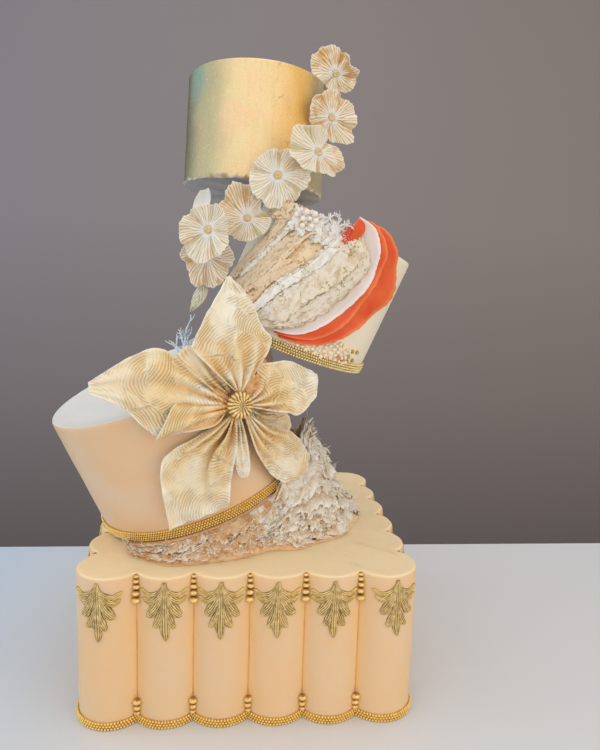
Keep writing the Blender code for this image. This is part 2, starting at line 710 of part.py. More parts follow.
def lace_rings():
    """Rings from the middle of the heap's top out to its toe."""
    draw = random.Random(LACE_SEED)
    foot = TIER_2.foot
    floor = BASE_HEIGHT + GAP
    rings = []
    for share in (0.45, 0.95, 1.0, 1.12, 1.45, 2.0):
        ring = []
        for k in range(LACE_STEPS):
            degrees = -180 + 360 * k / LACE_STEPS
            a = math.radians(degrees)
            side = 1 / math.hypot(math.cos(a) / SHADOW[0], math.sin(a) / SHADOW[1])
            toe = round_value(LACE_TOE, degrees) * MM
            crest = round_value(LACE_CREST, degrees) * MM
            jitter = draw.uniform(-1, 1)
            under = min(side, toe - 2 * MM)
            if share <= 1:
                reach = under * share
            else:
                start = under + min(4.5 * MM, 0.5 * (toe - under))
                reach = start + (toe - start) * (share - 1)
            x, y = foot.x + reach * math.cos(a), foot.y + reach * math.sin(a)
            if share <= 1:
                height = TIER_2.height_over(0, x, y) - GAP - 0.4 * MM
            else:
                height = BASE_HEIGHT + crest * (2 - share) ** 1.3 + 2.5 * MM * jitter * (share < 2)
            ring.append(Vector((x, y, max(height, floor + 0.8 * MM))))
        rings.append(ring)
    return rings


def make_lace_heap(material):
    rings = lace_rings()
    floor = BASE_HEIGHT + GAP
    rings.append([Vector((p.x, p.y, floor)) for p in rings[-1]])
    loft("lace_heap", rings, material)


def build():
    peach = make_material("peach_fondant", (0.80, 0.53, 0.33), 0.6)
    ivory = make_material("ivory_fondant", (0.80, 0.70, 0.53), 0.55)
    gold_leaf = make_material("gold_leaf", (0.72, 0.52, 0.21), 0.35, 0.8)
    gold_pearl = make_material("gold_pearl", (0.58, 0.36, 0.07), 0.3, 0.8)
    old_gold = make_material("old_gold", (0.38, 0.29, 0.11), 0.45, 0.6)
    wafer = make_material("wafer_paper", (0.82, 0.74, 0.56), 0.7)
    lace = make_material("sugar_lace", (0.76, 0.66, 0.56), 0.7)
    white = make_material("white_sugar", (0.80, 0.80, 0.78), 0.6)
    wood = make_material("dowel_wood", (0.45, 0.30, 0.17), 0.7)
    steel = make_material("florist_wire", (0.45, 0.55, 0.60), 0.4, 0.5)

    make_base_tier(peach)
    make_base_border(gold_pearl)
    make_leaves(old_gold)
    make_tier("tier_2", TIER_2, peach)
    make_trim("tier_2_trim", TIER_2, gold_pearl)
    tier_3 = make_tier("tier_3", TIER_3, ivory)
    unite(tier_3, make_pearls(TIER_3, TIER_3_PEARLS, ivory))
    finish(tier_3, ivory)
    make_trim("tier_3_trim", TIER_3, gold_pearl)
    make_tier("tier_4", TIER_4, gold_leaf)
    make_dowel("dowel_left", TIER_2, TIER_3, -0.022, 0.004, wood)
    make_dowel("dowel_right", TIER_2, TIER_3, -0.001, -0.022, wood)
    make_dowel("dowel_top", TIER_3, TIER_4, 0.034, -0.008, wood)
    make_tier_3_sheets()
    make_bow(ivory, old_gold)
    make_flowers(wafer)
    make_small_leaf(wafer)
    make_wire(steel)
    for sprig in SPRIGS:
        make_sprig(sprig, white)
    make_lace_heap(lace)


clear_scene()
CAKE = make_collection("topsy_turvy_cake")
build()
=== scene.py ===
"""Looks of a topsy-turvy celebration cake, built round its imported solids.

Metres, +Z up, front facing -Y. Angles on a tier are in degrees round its axis: -90 is the front, 0 the right.
"""

import random
from collections import namedtuple
from math import atan2, copysign, cos, degrees as to_degrees, exp, hypot, pi, radians, sin, sqrt, tan, tau
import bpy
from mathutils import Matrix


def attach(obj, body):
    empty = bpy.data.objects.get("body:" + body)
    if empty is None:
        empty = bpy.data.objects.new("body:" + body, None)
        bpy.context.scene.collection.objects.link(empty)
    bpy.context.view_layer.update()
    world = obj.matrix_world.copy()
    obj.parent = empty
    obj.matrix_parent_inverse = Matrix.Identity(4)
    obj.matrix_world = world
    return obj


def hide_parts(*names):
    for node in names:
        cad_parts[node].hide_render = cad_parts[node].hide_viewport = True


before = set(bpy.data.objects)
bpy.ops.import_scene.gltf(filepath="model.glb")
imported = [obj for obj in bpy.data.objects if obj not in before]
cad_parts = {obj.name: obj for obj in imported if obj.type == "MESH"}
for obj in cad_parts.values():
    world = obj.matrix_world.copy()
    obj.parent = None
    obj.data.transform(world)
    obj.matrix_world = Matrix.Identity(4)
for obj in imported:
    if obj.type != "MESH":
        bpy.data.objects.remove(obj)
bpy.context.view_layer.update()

from types import SimpleNamespace

import bpy
import numpy as np
from mathutils import Matrix, Vector, noise

MM = 0.001

# Camera of the photograph
CAMERA_PLACE = Vector((-0.010, -0.679, 0.401))
CAMERA_YAW, CAMERA_PITCH, CAMERA_ROLL = 5.21, -8.46, 1.80
CAMERA_LENS = 30.43

# Lamps: name, place, size, power, colour. Each looks at the lit point
LIT_POINT = Vector((0, 0, 0.3))
LIGHTS = [
    ("key", (-0.7, -1.5, 1.2), 2.2, 9, (1.0, 0.98, 0.95)),
    ("window", (-1.5, 0.1, 0.6), 1.0, 4.5, (0.7, 0.86, 1.0)),
    ("warm", (1.1, -1.3, 0.5), 1.6, 9, (1.0, 0.88, 0.72)),
    ("top", (0.1, 0.2, 1.9), 1.4, 7, (1.0, 0.98, 0.96)),
]

# Base tier: its rim and head as (inset, lift) in mm and shares of the outline
BASE_HEIGHT = 142.7 * MM
BASE_RIM = [(0, -3.2), (-0.1, -1.8), (-0.45, -0.8), (-1.1, -0.15), (-2.2, 0.0), (-4.5, -0.2), (-9, -0.3)]
BASE_HEAD_RINGS = (0.93, 0.85, 0.72, 0.55, 0.35, 0.15)
COLUMNS_PER_SIDE = 6
COLUMN_PITCH = 50 * MM
COLUMN_RADIUS = 30.5 * MM
SIDE_STEPS, CORNER_STEPS = 22, 38
LEAF_DROP = 4 * MM
CORNER_LEAF_TURNS = (-14.0, 14.0, 166.0, 194.0)
TOP_DROP_RADII = [r * MM for r in (2.1, 2.5, 2.9, 3.3, 3.7)]
FOOT_DROP_RADII = [r * MM for r in (3.5, 3.1, 2.7)]
BORDER_HEIGHT = 8 * MM

# Round tiers: rings of the head and foot as shares of the radius, and the gold leaf's patches of colour, most
# of them painted light: a painted highlight in front, painted shade on the left, at the turning edges and on
# the right, and a painted bluish window reflection
HEAD_RINGS = (0.985, 0.97, 0.8, 0.5, 0.2)
FOOT_RINGS = (0.96, 0.8, 0.5, 0.2)
GOLD_LEAF_TONES = {
    "pale": (204, 194, 148), "deep": (232, 182, 92), "olive_shade": (98, 91, 54), "window_reflection": (132, 168, 152),
    "grey": (168, 160, 132),
}

# Thickness of the lace
LACE = 0.3 * MM
LACE_STRIP = 0.35 * MM

# Bow
BOW_ANGLE, BOW_HEIGHT = -54.0, 103.8 * MM
BOW_STANDOFF = 16 * MM
BOW_FACING = Vector((0.319, -0.935, 0.154)).normalized()
BUTTON_RADIUS = 12 * MM


class Tier:
    """A round tier that leans, whose foot and head are cut at a slant to its axis."""

    def __init__(self, foot, lean, height, radii, foot_cut, head_cut):
        right, back = (radians(a) for a in lean)
        self.foot = Vector(foot)
        self.axis = Vector((
            sin(right),
            sin(back) * cos(right),
            cos(back) * cos(right),
        ))
        self.across = Vector((0, 1, 0)).cross(self.axis).normalized()
        self.back = self.axis.cross(self.across)
        self.height = height
        self.radii = radii
        self.cuts = [[tan(radians(a)) for a in cut] for cut in (foot_cut, head_cut)]

    def outward(self, angle):
        a = radians(angle)
        return self.across * cos(a) + self.back * sin(a)

    def tangent(self, angle):
        return self.outward(angle + 90)

    def radius(self, height):
        foot_radius, head_radius = self.radii
        return foot_radius + (head_radius - foot_radius) * height / self.height

    def at(self, angle, height, out=0.0):
        """The point at this angle and height on the side, or this far out from it."""
        return self.foot + self.axis * height + self.outward(angle) * (self.radius(height) + out)

    def cut_height(self, end, angle, radius):
        a = radians(angle)
        slope_right, slope_back = self.cuts[end]
        rise = radius * (cos(a) * slope_right + sin(a) * slope_back)
        return rise + end * self.height

    def inside(self, end, angle, share, lift=0.0):
        """A point on the foot or head plane, share of the radius from the axis."""
        radius = self.radii[end] * share
        height = self.cut_height(end, angle, radius) + lift
        return self.foot + self.axis * height + self.outward(angle) * radius

    def height_over(self, end, x, y):
        slope_right, slope_back = self.cuts[end]
        normal = self.axis - self.across * slope_right - self.back * slope_back
        origin = self.foot + self.axis * (end * self.height)
        return origin.z - (normal.x * (x - origin.x) + normal.y * (y - origin.y)) / normal.z


TIER_2 = Tier((-0.0529, -0.0064, 0.1794), (-18.3, -7.3), 0.128, (0.1050, 0.1160), (0, 0), (2.1, 0))
TIER_3 = Tier((0.0356, -0.0102, 0.3350), (22.9, -3.8), 0.1292, (0.0808, 0.0803), (4.0, -0.8), (-1.2, 0.7))
TIER_4 = Tier((-0.0029, -0.0009, 0.4886), (1.9, 4.1), 0.1064, (0.0705, 0.0697), (-1.6, 0.9), (-0.1, -0.9))

# Dowels: name, tier below, tier above, place
DOWELS = [
    ("dowel_left", TIER_2, TIER_3, -0.022, 0.004), ("dowel_right", TIER_2, TIER_3, -0.001, -0.022),
    ("dowel_top", TIER_3, TIER_4, 0.034, -0.008),
]

# Lobes of an acanthus leaf, in mm on the unrolled column: path, widths, ridges, rise, how bright its tip is
LEAF_LOBES = [
    ([(0.6, 2.5), (3.0, 7.6), (8.0, 11.8), (15.0, 12.6), (22.0, 9.0)],
     (1.1, 1.8, 2.2, 2.1, 1.5), 3, 2.4, 1.0),
    ([(0.8, 4.0), (4.2, 12.2), (9.8, 17.6), (15.4, 18.8), (20.8, 15.6)],
     (1.4, 2.7, 3.1, 2.7, 1.8), 4, 2.0, 0.75),
    ([(0.8, 9.0), (4.4, 18.5), (8.6, 25.4), (12.4, 29.6), (15.0, 31.6)],
     (1.6, 3.3, 4.4, 4.2, 2.7), 5, 2.3, 0.2),
    ([(0.7, 20.0), (2.6, 29.0), (5.0, 36.0), (7.4, 40.2), (9.4, 42.0)],
     (1.4, 2.6, 3.4, 3.3, 2.2), 4, 2.1, 0.25),
]
LEAF_STEM = ([(0, 0), (0, 12), (0.2, 26), (0, 41), (0.6, 52.5)], (1.7, 3.0, 3.4, 4.3, 2.6), 4, 2.7, 0.15)

# Sheets over tier 3: edges of (angle, height in mm), layers under it, lift of its outer edge in mm
FanSheet = namedtuple("FanSheet", "name inner outer layer lift wave crumple ragged look replaces")
FAN_SHEETS = [
    FanSheet("ruffle_coral_outer_skin",
          [(-84, 134), (-70, 124), (-66, 105), (-70, 78), (-80, 45), (-90, 24), (-104, 14)],
          [(-86, 138), (-68, 142), (-50, 124), (-39, 92), (-54, 53), (-76, 21), (-102, 12)],
          0, 5, 2.0, 0.9, 0.9, "coral", ["ruffle_coral_outer"]),
    FanSheet("ruffle_coral_inner_skin",
          [(-86, 135), (-77, 122), (-75, 103), (-79, 76), (-89, 44), (-98, 26), (-108, 17)],
          [(-87, 140), (-74, 141), (-60, 120), (-60, 92), (-64, 58), (-80, 25), (-106, 14)],
          1, 5, 1.6, 0.8, 0.7, "coral", ["ruffle_coral_inner"]),
    FanSheet("ruffle_white_skin",
          [(-84, 131), (-78, 118), (-80, 100), (-87, 75), (-95, 46), (-103, 28), (-112, 20)],
          [(-88, 142), (-74, 137), (-65, 115), (-64, 88), (-75, 50), (-91, 23), (-112, 15)],
          2, 3.5, 0.9, 0.5, 0.6, "white", ["ruffle_white"]),
    FanSheet("lace_cream_skin",
          [(-88, 127), (-93, 105), (-97, 86), (-106, 68), (-113, 48), (-118, 28), (-121, 18)],
          [(-83, 126), (-70, 110), (-71, 90), (-79, 61), (-92, 32), (-107, 18), (-118, 14)],
          4, 1.5, 0.5, 1.5, 2.0, "cream", ["lace_cream"]),
    FanSheet("band_peach_skin",
          [(-104, 118), (-114, 103), (-121, 84), (-126, 66), (-132, 48), (-138, 36), (-143, 28)],
          [(-91, 118), (-94, 104), (-99, 85), (-107, 68), (-115, 48), (-120, 30), (-125, 18)],
          1, 3, 0.6, 1.0, 1.5, "peach", ["band_peach"]),
    FanSheet("lace_left_skin",
          [(-133, 116), (-137, 98), (-143, 82), (-149, 68), (-155, 56), (-162, 46), (-168, 38)],
          [(-107, 116), (-115, 104), (-122, 85), (-127, 67), (-134, 48), (-140, 36), (-146, 28)],
          0, 3, 0.9, 1.6, 2.5, "lace", ["lace_left"]),
    FanSheet("lace_fold_middle",
          [(-91, 122), (-94, 107), (-98, 88), (-106, 68), (-113, 48), (-118, 30), (-121, 20)],
          [(-79, 123), (-77, 106), (-81, 88), (-88, 68), (-95, 55), (-98, 42), (-103, 26)],
          5.6, 1.6, 0.5, 1.5, 2.2, "cream", []),
    FanSheet("lace_fold_near",
          [(-93, 121), (-97, 106), (-102, 88), (-110, 68), (-118, 48), (-124, 32), (-127, 22)],
          [(-86, 124), (-91, 106), (-95, 90), (-104, 68), (-112, 50), (-117, 34), (-122, 20)],
          5.2, 2.2, 0.6, 1.4, 1.6, "white_lace", []),
    FanSheet("lace_fold_far",
          [(-118, 117), (-126, 100), (-133, 83), (-139, 67), (-146, 52), (-152, 42), (-158, 34)],
          [(-104, 120), (-112, 104), (-119, 85), (-125, 67), (-132, 49), (-138, 38), (-143, 30)],
          1.6, 2.4, 0.7, 1.5, 1.8, "lace", []),
    FanSheet("lace_fold_last",
          [(-138, 112), (-142, 96), (-149, 80), (-156, 66), (-163, 54), (-170, 44), (-176, 36)],
          [(-121, 116), (-128, 98), (-136, 81), (-142, 66), (-149, 53), (-156, 44), (-162, 36)],
          1.4, 2.2, 0.7, 1.5, 2.0, "lace", []),
]

# Lines down the fan, in (angle, height in mm), at shares across it
FAN = [
    (0.0, [(-84, 128), (-72, 112), (-72, 92), (-80, 63), (-93, 34), (-107, 20), (-118, 14)]),
    (0.3, [(-88, 128), (-93, 105), (-97, 86), (-106, 68), (-113, 48), (-118, 28), (-121, 18)]),
    (0.6, [(-101, 127), (-113, 104), (-121, 84), (-126, 66), (-132, 48), (-138, 36), (-143, 28)]),
    (1.0, [(-131, 127), (-136, 102), (-143, 82), (-149, 68), (-155, 56), (-162, 46), (-168, 38)]),
]

# Looks of the torn strips, each up to a share across the fan
STRIP_LOOKS = ((0.19, "cream"), (0.42, "white_lace"), (0.60, "peach"), (2, "lace"))

# Pearls on tier 3: (angle, height, radius) in mm, and gold dots as (angle, height)
PEARL_CLUSTER = [
    (-123.7, 120, 2.5), (-118.4, 119.2, 2.7), (-117.8, 126, 2.8), (-112.6, 127.4, 2.6), (-114.3, 121.6, 2.3),
    (-110.4, 122, 2.6), (-117, 113.5, 2.5), (-111.5, 116.2, 2.4), (-122, 126, 2.0),
]
GOLD_DOTS = [
    (-46.7, 26.4), (-40.6, 27.0), (-48.3, 20.2), (-41.9, 18.0), (-53.5, 17.3), (-57.5, 15.6), (-52.6, 15.2),
    (-47.4, 15.4),
]

# Petals of the bow: turn and lean in degrees, edges in mm, long folds as (height, place across, width)
Petal = namedtuple("Petal", "name turn lean depth arch left right folds widen", defaults=[(), 1.0])
PETALS = [
    Petal("petal_top", 95, -3, 0, 3,
          [(12, 1), (26, 14), (51, 35), (58, 36), (74, 27), (96, 11), (113, -1)],
          [(11, -4), (24, -16), (45, -32), (57, -36), (64, -30), (79, -25), (98, -16), (113, -4)],
          [(4.4, 0.5, 0.12), (-3.52, 0.2, 0.10)]),
    Petal("petal_right", 15, 5, 0, 5,
          [(9, 1), (21, 12), (28, 28), (44, 27), (61, 22), (86, 3)],
          [(9, -4), (25, -13), (43, -21), (52, -26), (67, -21), (78, -14), (85, -2)],
          [(3.0, 0.35, 0.10), (-2.4, 0.62, 0.09)]),
    Petal("petal_small", -20, 22, -7, 2,
          [(12, 2), (36, 2), (63, 8), (77, 1)],
          [(13, -2), (29, -12), (53, -19), (77, -9)], (), 1.15),
    Petal("petal_lower_right", -50, 24, 0, 5,
          [(14, 3), (40, 12), (65, 27), (86, 31), (105, 26), (117, 14)],
          [(14, -1), (46, -12), (75, -14), (93, -12), (109, -6), (118, 10)]),
    Petal("petal_bottom", -85, 12, -4, 2,
          [(11, 2), (34, 7), (55, 9), (70, 6)],
          [(11, -2), (32, -5), (52, -6), (69, -1)]),
    Petal("petal_lower_left", -118, 15, 0, 5,
          [(11, 3), (29, 14), (51, 23), (73, 32), (89, 39)],
          [(11, -2), (33, -14), (63, -34), (79, -35), (98, -23), (129, 1)],
          [(9.0, 0.27, 0.08), (-3.5, 0.44, 0.08), (-2.5, 0.10, 0.07)]),
    Petal("petal_left", 175, 6, 0, 6,
          [(10, 4), (21, 19), (50, 26), (68, 30), (79, 23), (99, 6), (126, -4)],
          [(10, -3), (39, -24), (62, -41), (77, -45), (93, -38), (112, -25), (127, -14)],
          [(3.5, 0.78, 0.16), (2.4, 0.3, 0.08), (-2.4, 0.16, 0.07)]),
    Petal("petal_upper_left", 135, -2, -6.5, 0,
          [(12, 2), (35, 8), (65, 9), (69, 2)],
          [(12, -3), (31, -7), (55, -12), (68, -5)], (), 1.5),
    Petal("petal_upper_right", 72, 6, -5, 3,
          [(12, 1), (27, 4), (45, 5), (52, -3)],
          [(12, -4), (23, -16), (40, -19), (52, -10)]),
]
SMALL_PETALS = ("petal_small", "petal_bottom", "petal_upper_left", "petal_upper_right")
CROSSED_PETAL = "petal_lower_left"

# Gathered ends behind the bow: first and last angle, reach, depth
GATHERS = [(30, 82, 47, -3.0), (34, 74, 33, 0.0), (140, 176, 26, -0.5), (-12, 14, 24, -1.5)]
# Rings of the button: rise in mm, share of its radius
BUTTON_PROFILE = [
    (-13, 0.30), (-7, 0.40), (3.4, 0.42), (3.8, 0.75), (4.3, 0.95), (5.4, 1.0), (7.0, 0.93), (8.3, 0.78),
    (8.6, 0.62), (7.4, 0.54), (8.4, 0.47), (9.6, 0.36), (10.0, 0.22), (9.4, 0.13), (10.2, 0.05),
]

# Flowers: facing in degrees, reach of ten spots round the edge in mm, tint, dusted side and its cover
Flower = namedtuple("Flower", "name centre facing reach cup gold tint dusted cover")
FLOWERS = [
    Flower("flower_1", (0.0761, -0.020, 0.6042), (1, -17), (24, 16, 22, 26, 30, 24, 16, 15, 18, 22),
           3, 1.0, (198, 156, 88), 60, 0.22),
    Flower("flower_2", (0.0699, -0.045, 0.5566), (20, -12), (24, 24, 24, 25, 28, 25, 21, 19, 23, 32),
           3, 1.0, (200, 158, 82), 140, 0.3),
    Flower("flower_3", (0.0540, -0.086, 0.5165), (20, -10), (24, 14, 17, 23, 32, 28, 22, 18, 19, 30),
           3, 0.45, (206, 186, 138), -20, 0.0),
    Flower("flower_4", (0.0184, -0.0792, 0.4957), (2, -9), (30, 28, 24, 23, 23, 26, 28, 30, 29, 28),
           4, 0.35, (198, 184, 150), 30, 0.0),
    Flower("flower_5", (-0.0083, -0.068, 0.4575), (0, -5), (23, 15, 28, 35, 30, 27, 26, 22, 21, 21),
           3, 0.55, (196, 170, 116), 120, 0.1),
    Flower("flower_6", (-0.0435, -0.087, 0.4440), (-3, -4), (18, 20, 25, 22, 24, 26, 29, 31, 26, 22),
           4, 0.25, (192, 180, 144), 200, 0.0),
    Flower("flower_7", (-0.0460, -0.062, 0.4215), (-4, -2), (26, 23, 18, 17, 21, 25, 22, 31, 30, 26),
           3, 0.7, (190, 154, 104), 160, 0.2),
]
FLOWER_RINGS = (0.10, 0.15, 0.20, 0.25, 0.34, 0.44, 0.55, 0.66, 0.78, 0.89, 0.96, 1.0)
SMALL_LEAF_BASE, SMALL_LEAF_TIP = Vector((-0.0490, -0.0570, 0.3935)), Vector((-0.0617, -0.0600, 0.3689))
SMALL_LEAF_WIDTH = 12 * MM

# Lace heap on the base tier: the tier's shadow on it, and its toe and crest as (angle, mm)
SHADOW = (104 * MM, 108.5 * MM)
LACE_TOE = [
    (-180, 70), (-150, 76), (-132, 98), (-118, 119), (-100, 127), (-77, 120), (-54, 119), (-38, 140),
    (-15, 165), (0, 177), (20, 186), (45, 172), (70, 132), (100, 122), (125, 112), (150, 80),
]
LACE_CREST = [
    (-180, 2), (-150, 3), (-132, 4), (-118, 8), (-100, 14), (-77, 24), (-54, 38), (-38, 72),
    (-15, 108), (0, 110), (20, 88), (45, 64), (70, 46), (100, 32), (125, 10), (150, 3),
]

# Crushed patches of the heap: first and last angle, inner and outer share, lift in mm
CRUSHED_PATCHES = [
    (-40, 25, 1.30, 1.96, 0.5), (10, 70, 1.35, 1.95, 0.5), (60, 118, 1.20, 1.92, 0.5),
    (-58, -8, 1.10, 1.80, 1.2), (-22, 34, 1.00, 1.72, 1.6), (24, 84, 1.00, 1.66, 1.6),
    (-46, 2, 1.00, 1.42, 2.6), (-8, 46, 1.00, 1.36, 3.0), (34, 78, 1.00, 1.36, 2.6),
]

# Rows of small frills: low and high are the shares of their ends, white says which of every few are white
FrillRow = namedtuple("FrillRow", "name count first pitch jitter low high sweep width seed every white steps")
FRILL_ROWS = [
    FrillRow("lace_wisp", 9, -104, 6.5, 3, (1.5, 1.9), (1.0, 1.2), (14, 30), (5, 10), 50, 1, (0,), (44, 6)),
    FrillRow("lace_hem", 9, -128, 9, 3, (1.0, 1.14), (1.0, 1.10), (18, 30), (7, 13), 70, 3, (1,), (44, 6)),
    FrillRow("lace_back", 12, 70, 11, 4, (1.0, 1.6), (1.0, 1.4), (24, 40), (8, 14), 90, 4, (1, 2, 3),
             (40, 6)),
]


# ---------------------------------------------------------------- small helpers

def srgb(r, g, b):
    """Linear colour from the 0-255 values of a picture."""
    return (*(((c / 255 + 0.055) / 1.055) ** 2.4 if c > 10 else c / 255 / 12.92 for c in (r, g, b)), 1.0)


def clamp(value):
    return min(1.0, max(0.0, value))


def ramp(value, start, end=1.0):
    """0 up to the start, then rising to 1 at the end."""
    return max(0.0, (value - start) / (end - start))


def taper(s, margin=0.03, power=0.5):
    """1 in the middle of a strip, less towards its two ends."""
    return sin(pi * min(max(s, margin), 1 - margin)) ** power


def bump_at(value, middle, width):
    return exp(-((value - middle) / width) ** 2)


def wobble(point, size, seed=0.0, octaves=3):
    """Smooth noise from about -1 to 1 with features of this size in metres."""
    return noise.fractal(Vector(point) / size + Vector((seed, 0.37 * seed, -seed)), 1.0, 2.0, octaves)


def crushed(point, size, seed=0.0, octaves=3):
    """Sharp-creased noise of crushed paper, from about -1 to 1."""
    total, weight = 0.0, 1.0
    spot = Vector(point) / size + Vector((seed, 1.7 * seed, -seed))
    for _ in range(octaves):
        total += weight * (1 - 4 * abs(noise.noise(spot)))
        weight *= 0.5
        spot = spot * 2.1 + Vector((3.1, 1.3, 7.7))
    return total * 0.6


def spline(points, t):
    """Catmull-Rom curve through the points, at t from 0 to 1."""
    last = len(points) - 1
    place = min(max(t, 0.0), 1.0) * last
    i = min(int(place), last - 1)
    f = place - i
    p0, p1, p2, p3 = (Vector(points[min(max(k, 0), last)]) for k in (i - 1, i, i + 1, i + 2))
    return 0.5 * (2 * p1 + (p2 - p0) * f + (2 * p0 - 5 * p1 + 4 * p2 - p3) * f**2
                  + (3 * p1 - p0 - 3 * p2 + p3) * f**3)


def round_value(table, angle):
    """Smooth periodic value at an angle, from (angle, value) pairs in rising order."""
    count = len(table)
    angles = [a for a, _ in table]
    angle = (angle - angles[0]) % 360 + angles[0]
    i = max(k for k in range(count) if angles[k] <= angle)
    following = angles[(i + 1) % count] + (360 if i + 1 == count else 0)
    f = (angle - angles[i]) / (following - angles[i])
    f = f * f * (3 - 2 * f)
    return table[i][1] * (1 - f) + table[(i + 1) % count][1] * f


def grid_faces(rows, columns, closed=False, offset=0):
    faces = []
    for i in range(rows - 1):
        for j in range(columns if closed else columns - 1):
            k = (j + 1) % columns
            a, b = offset + i * columns, offset + (i + 1) * columns
            faces.append((a + j, a + k, b + k, b + j))
    return faces


def turned(faces):
    return [tuple(reversed(face)) for face in faces]


def random_vector(draw, most):
    return Vector([draw.uniform(-most, most) for _ in range(3)])


def piece(name, points, faces, materials, slot, replaces=(), values=None, face_slots=None, sharp=None):
    """Makes a mesh piece that rides on the cake."""
    mesh = bpy.data.meshes.new(name)
    mesh.from_pydata([tuple(p) for p in points], [], faces)
    for material in materials:
        mesh.materials.append(material)
    if face_slots is not None:
        mesh.polygons.foreach_set("material_index", face_slots)
    for key, data in (values or {}).items():
        mesh.attributes.new(key, "FLOAT", "POINT").data.foreach_set("value", [float(x) for x in data])
    mesh.update()
    mesh.shade_smooth()
    if sharp:
        mesh.set_sharp_from_angle(angle=radians(sharp))
    obj = bpy.data.objects.new(name, mesh)
    bpy.context.scene.collection.objects.link(obj)
    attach(obj, "root")
    if replaces:
        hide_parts(*replaces)
    return obj


def torn(rows, columns, seed):
    """How many columns each row of a sheet keeps, so that its free edge is torn into tongues and slits."""
    kept = []
    for i in range(rows + 1):
        share = 0.94 + 0.5 * wobble((0.22 * i, seed, 3), 1, 5, 2) + 0.28 * wobble((0.8 * i, seed, 9), 1, 6, 2)
        kept.append(max(3, min(columns, round(columns * share))))
    return kept


class Film:
    """A thin wavy sheet made row by row, with a value of each attribute at every point."""

    def __init__(self, steps_s, steps_t, *keys):
        self.steps_s, self.steps_t = steps_s, steps_t
        self.rows = []
        self.values = {key: [] for key in keys}

    def along(self):
        """The place s of each row from 0 to 1, which is then the row to fill."""
        for i in range(self.steps_s + 1):
            self.rows.append([])
            yield i / self.steps_s

    def across(self):
        """The place t of each point in a row, from 0 to 1."""
        return [j / self.steps_t for j in range(self.steps_t + 1)]

    def put(self, point, *values):
        self.rows[-1].append(point)
        for column, value in zip(self.values.values(), values):
            column.append(value)

    def make(self, name, thickness, material, slot, replaces=(), hub=None, tear=None):
        """The piece. A hub (a point, its values) closes rows into rings. Tear seeds a torn edge."""
        columns = len(self.rows[0])
        faces = grid_faces(len(self.rows), columns, bool(hub))
        if hub:
            middle = len(self.rows) * columns
            faces += [(middle, (j + 1) % columns, j) for j in range(columns)]
            self.put(*hub)
        points = [point for row in self.rows for point in row]
        values = self.values
        if tear is not None:
            cuts = torn(self.steps_s, self.steps_t, tear)
            faces = [face for face in faces if all(p % columns <= cuts[p // columns] for p in face)]
            kept = sorted({p for face in faces for p in face})
            number_of = {p: k for k, p in enumerate(kept)}
            faces = [tuple(number_of[p] for p in face) for face in faces]
            points = [points[p] for p in kept]
            values = {key: [column[p] for p in kept] for key, column in values.items()}
        obj = piece(name, points, faces, [material], slot, replaces, values)
        solidify = obj.modifiers.new("thickness", "SOLIDIFY")
        solidify.thickness = thickness
        solidify.offset = 0
        solidify.use_even_offset = False


def parallel(a, segments):
    """Ring of points on a unit sphere, at the angle a from +Z."""
    turns = [tau * j / segments for j in range(segments)]
    return [(sin(a) * cos(b), sin(a) * sin(b), cos(a)) for b in turns]


def ball(segments, rings):
    """Unit sphere as (points, faces)."""
    points, faces = [(0, 0, 1)], []
    for i in range(1, rings):
        points += parallel(pi * i / rings, segments)
    points.append((0, 0, -1))
    last = len(points) - 1
    for j in range(segments):
        k = (j + 1) % segments
        faces.append((0, 1 + j, 1 + k))
        faces.append((last, last - segments + k, last - segments + j))
    faces += turned(grid_faces(rings - 1, segments, True, 1))
    return np.array(points), faces


def half_ball(segments, bands):
    """Unit half sphere round +Z with a flat back, as (points, faces)."""
    points, faces = [(0, 0, 1)], []
    for i in range(1, bands + 1):
        points += parallel(0.5 * pi * i / bands, segments)
    for j in range(segments):
        faces.append((0, 1 + j, 1 + (j + 1) % segments))
    faces += turned(grid_faces(bands, segments, True, 1))
    faces.append(tuple(reversed(range(len(points) - segments, len(points)))))
    return np.array(points), faces


def scatter(shape, places):
    """Copies of a shape: places holds (centre, three axis vectors that scale it)."""
    template, faces = shape
    points, found = [], []
    for centre, axes in places:
        found += [tuple(i + len(points) * len(template) for i in face) for face in faces]
        points.append(template @ np.array([tuple(a) for a in axes]) + np.array(centre))
    return np.concatenate(points), found


def round_axes(radius):
    return Vector((radius, 0, 0)), Vector((0, radius, 0)), Vector((0, 0, radius))


def tube(points, radii, sides=6):
    """(points, faces) of a tube along a path, closed at both ends."""
    found = []
    up = Vector((0.31, 0.2, 0.93))
    for i, p in enumerate(points):
        ahead = points[min(i + 1, len(points) - 1)] - points[max(i - 1, 0)]
        side = ahead.cross(up)
        if side.length < 1e-9:
            side = ahead.orthogonal()
        side.normalize()
        up = side.cross(ahead).normalized()
        for k in range(sides):
            a = tau * k / sides
            found.append(p + (side * cos(a) + up * sin(a)) * radii[i])
    faces = grid_faces(len(points), sides, True)
    faces.append(tuple(reversed(range(sides))))
    faces.append(tuple(range(len(found) - sides, len(found))))
    return found, faces


def join(parts):
    """One (points, faces) out of several."""
    points, faces = [], []
    for more_points, more_faces in parts:
        base = len(points)
        points += list(more_points)
        faces += [tuple(i + base for i in face) for face in more_faces]
    return points, faces


# ---------------------------------------------------------------- materials

def add(tree, kind, settings=None, **inputs):
    """Adds a node; an input is a value or another node's output. Input_2 means the third socket."""
    node = tree.nodes.new(kind)
    for key, value in (settings or {}).items():
        setattr(node, key, value)
    for key, value in inputs.items():
        socket = node.inputs[int(key[6:])] if key.startswith("Input_") else node.inputs[key.replace("_", " ")]
        if isinstance(value, bpy.types.NodeSocket):
            tree.links.new(value, socket)
        else:
            socket.default_value = value
    return node


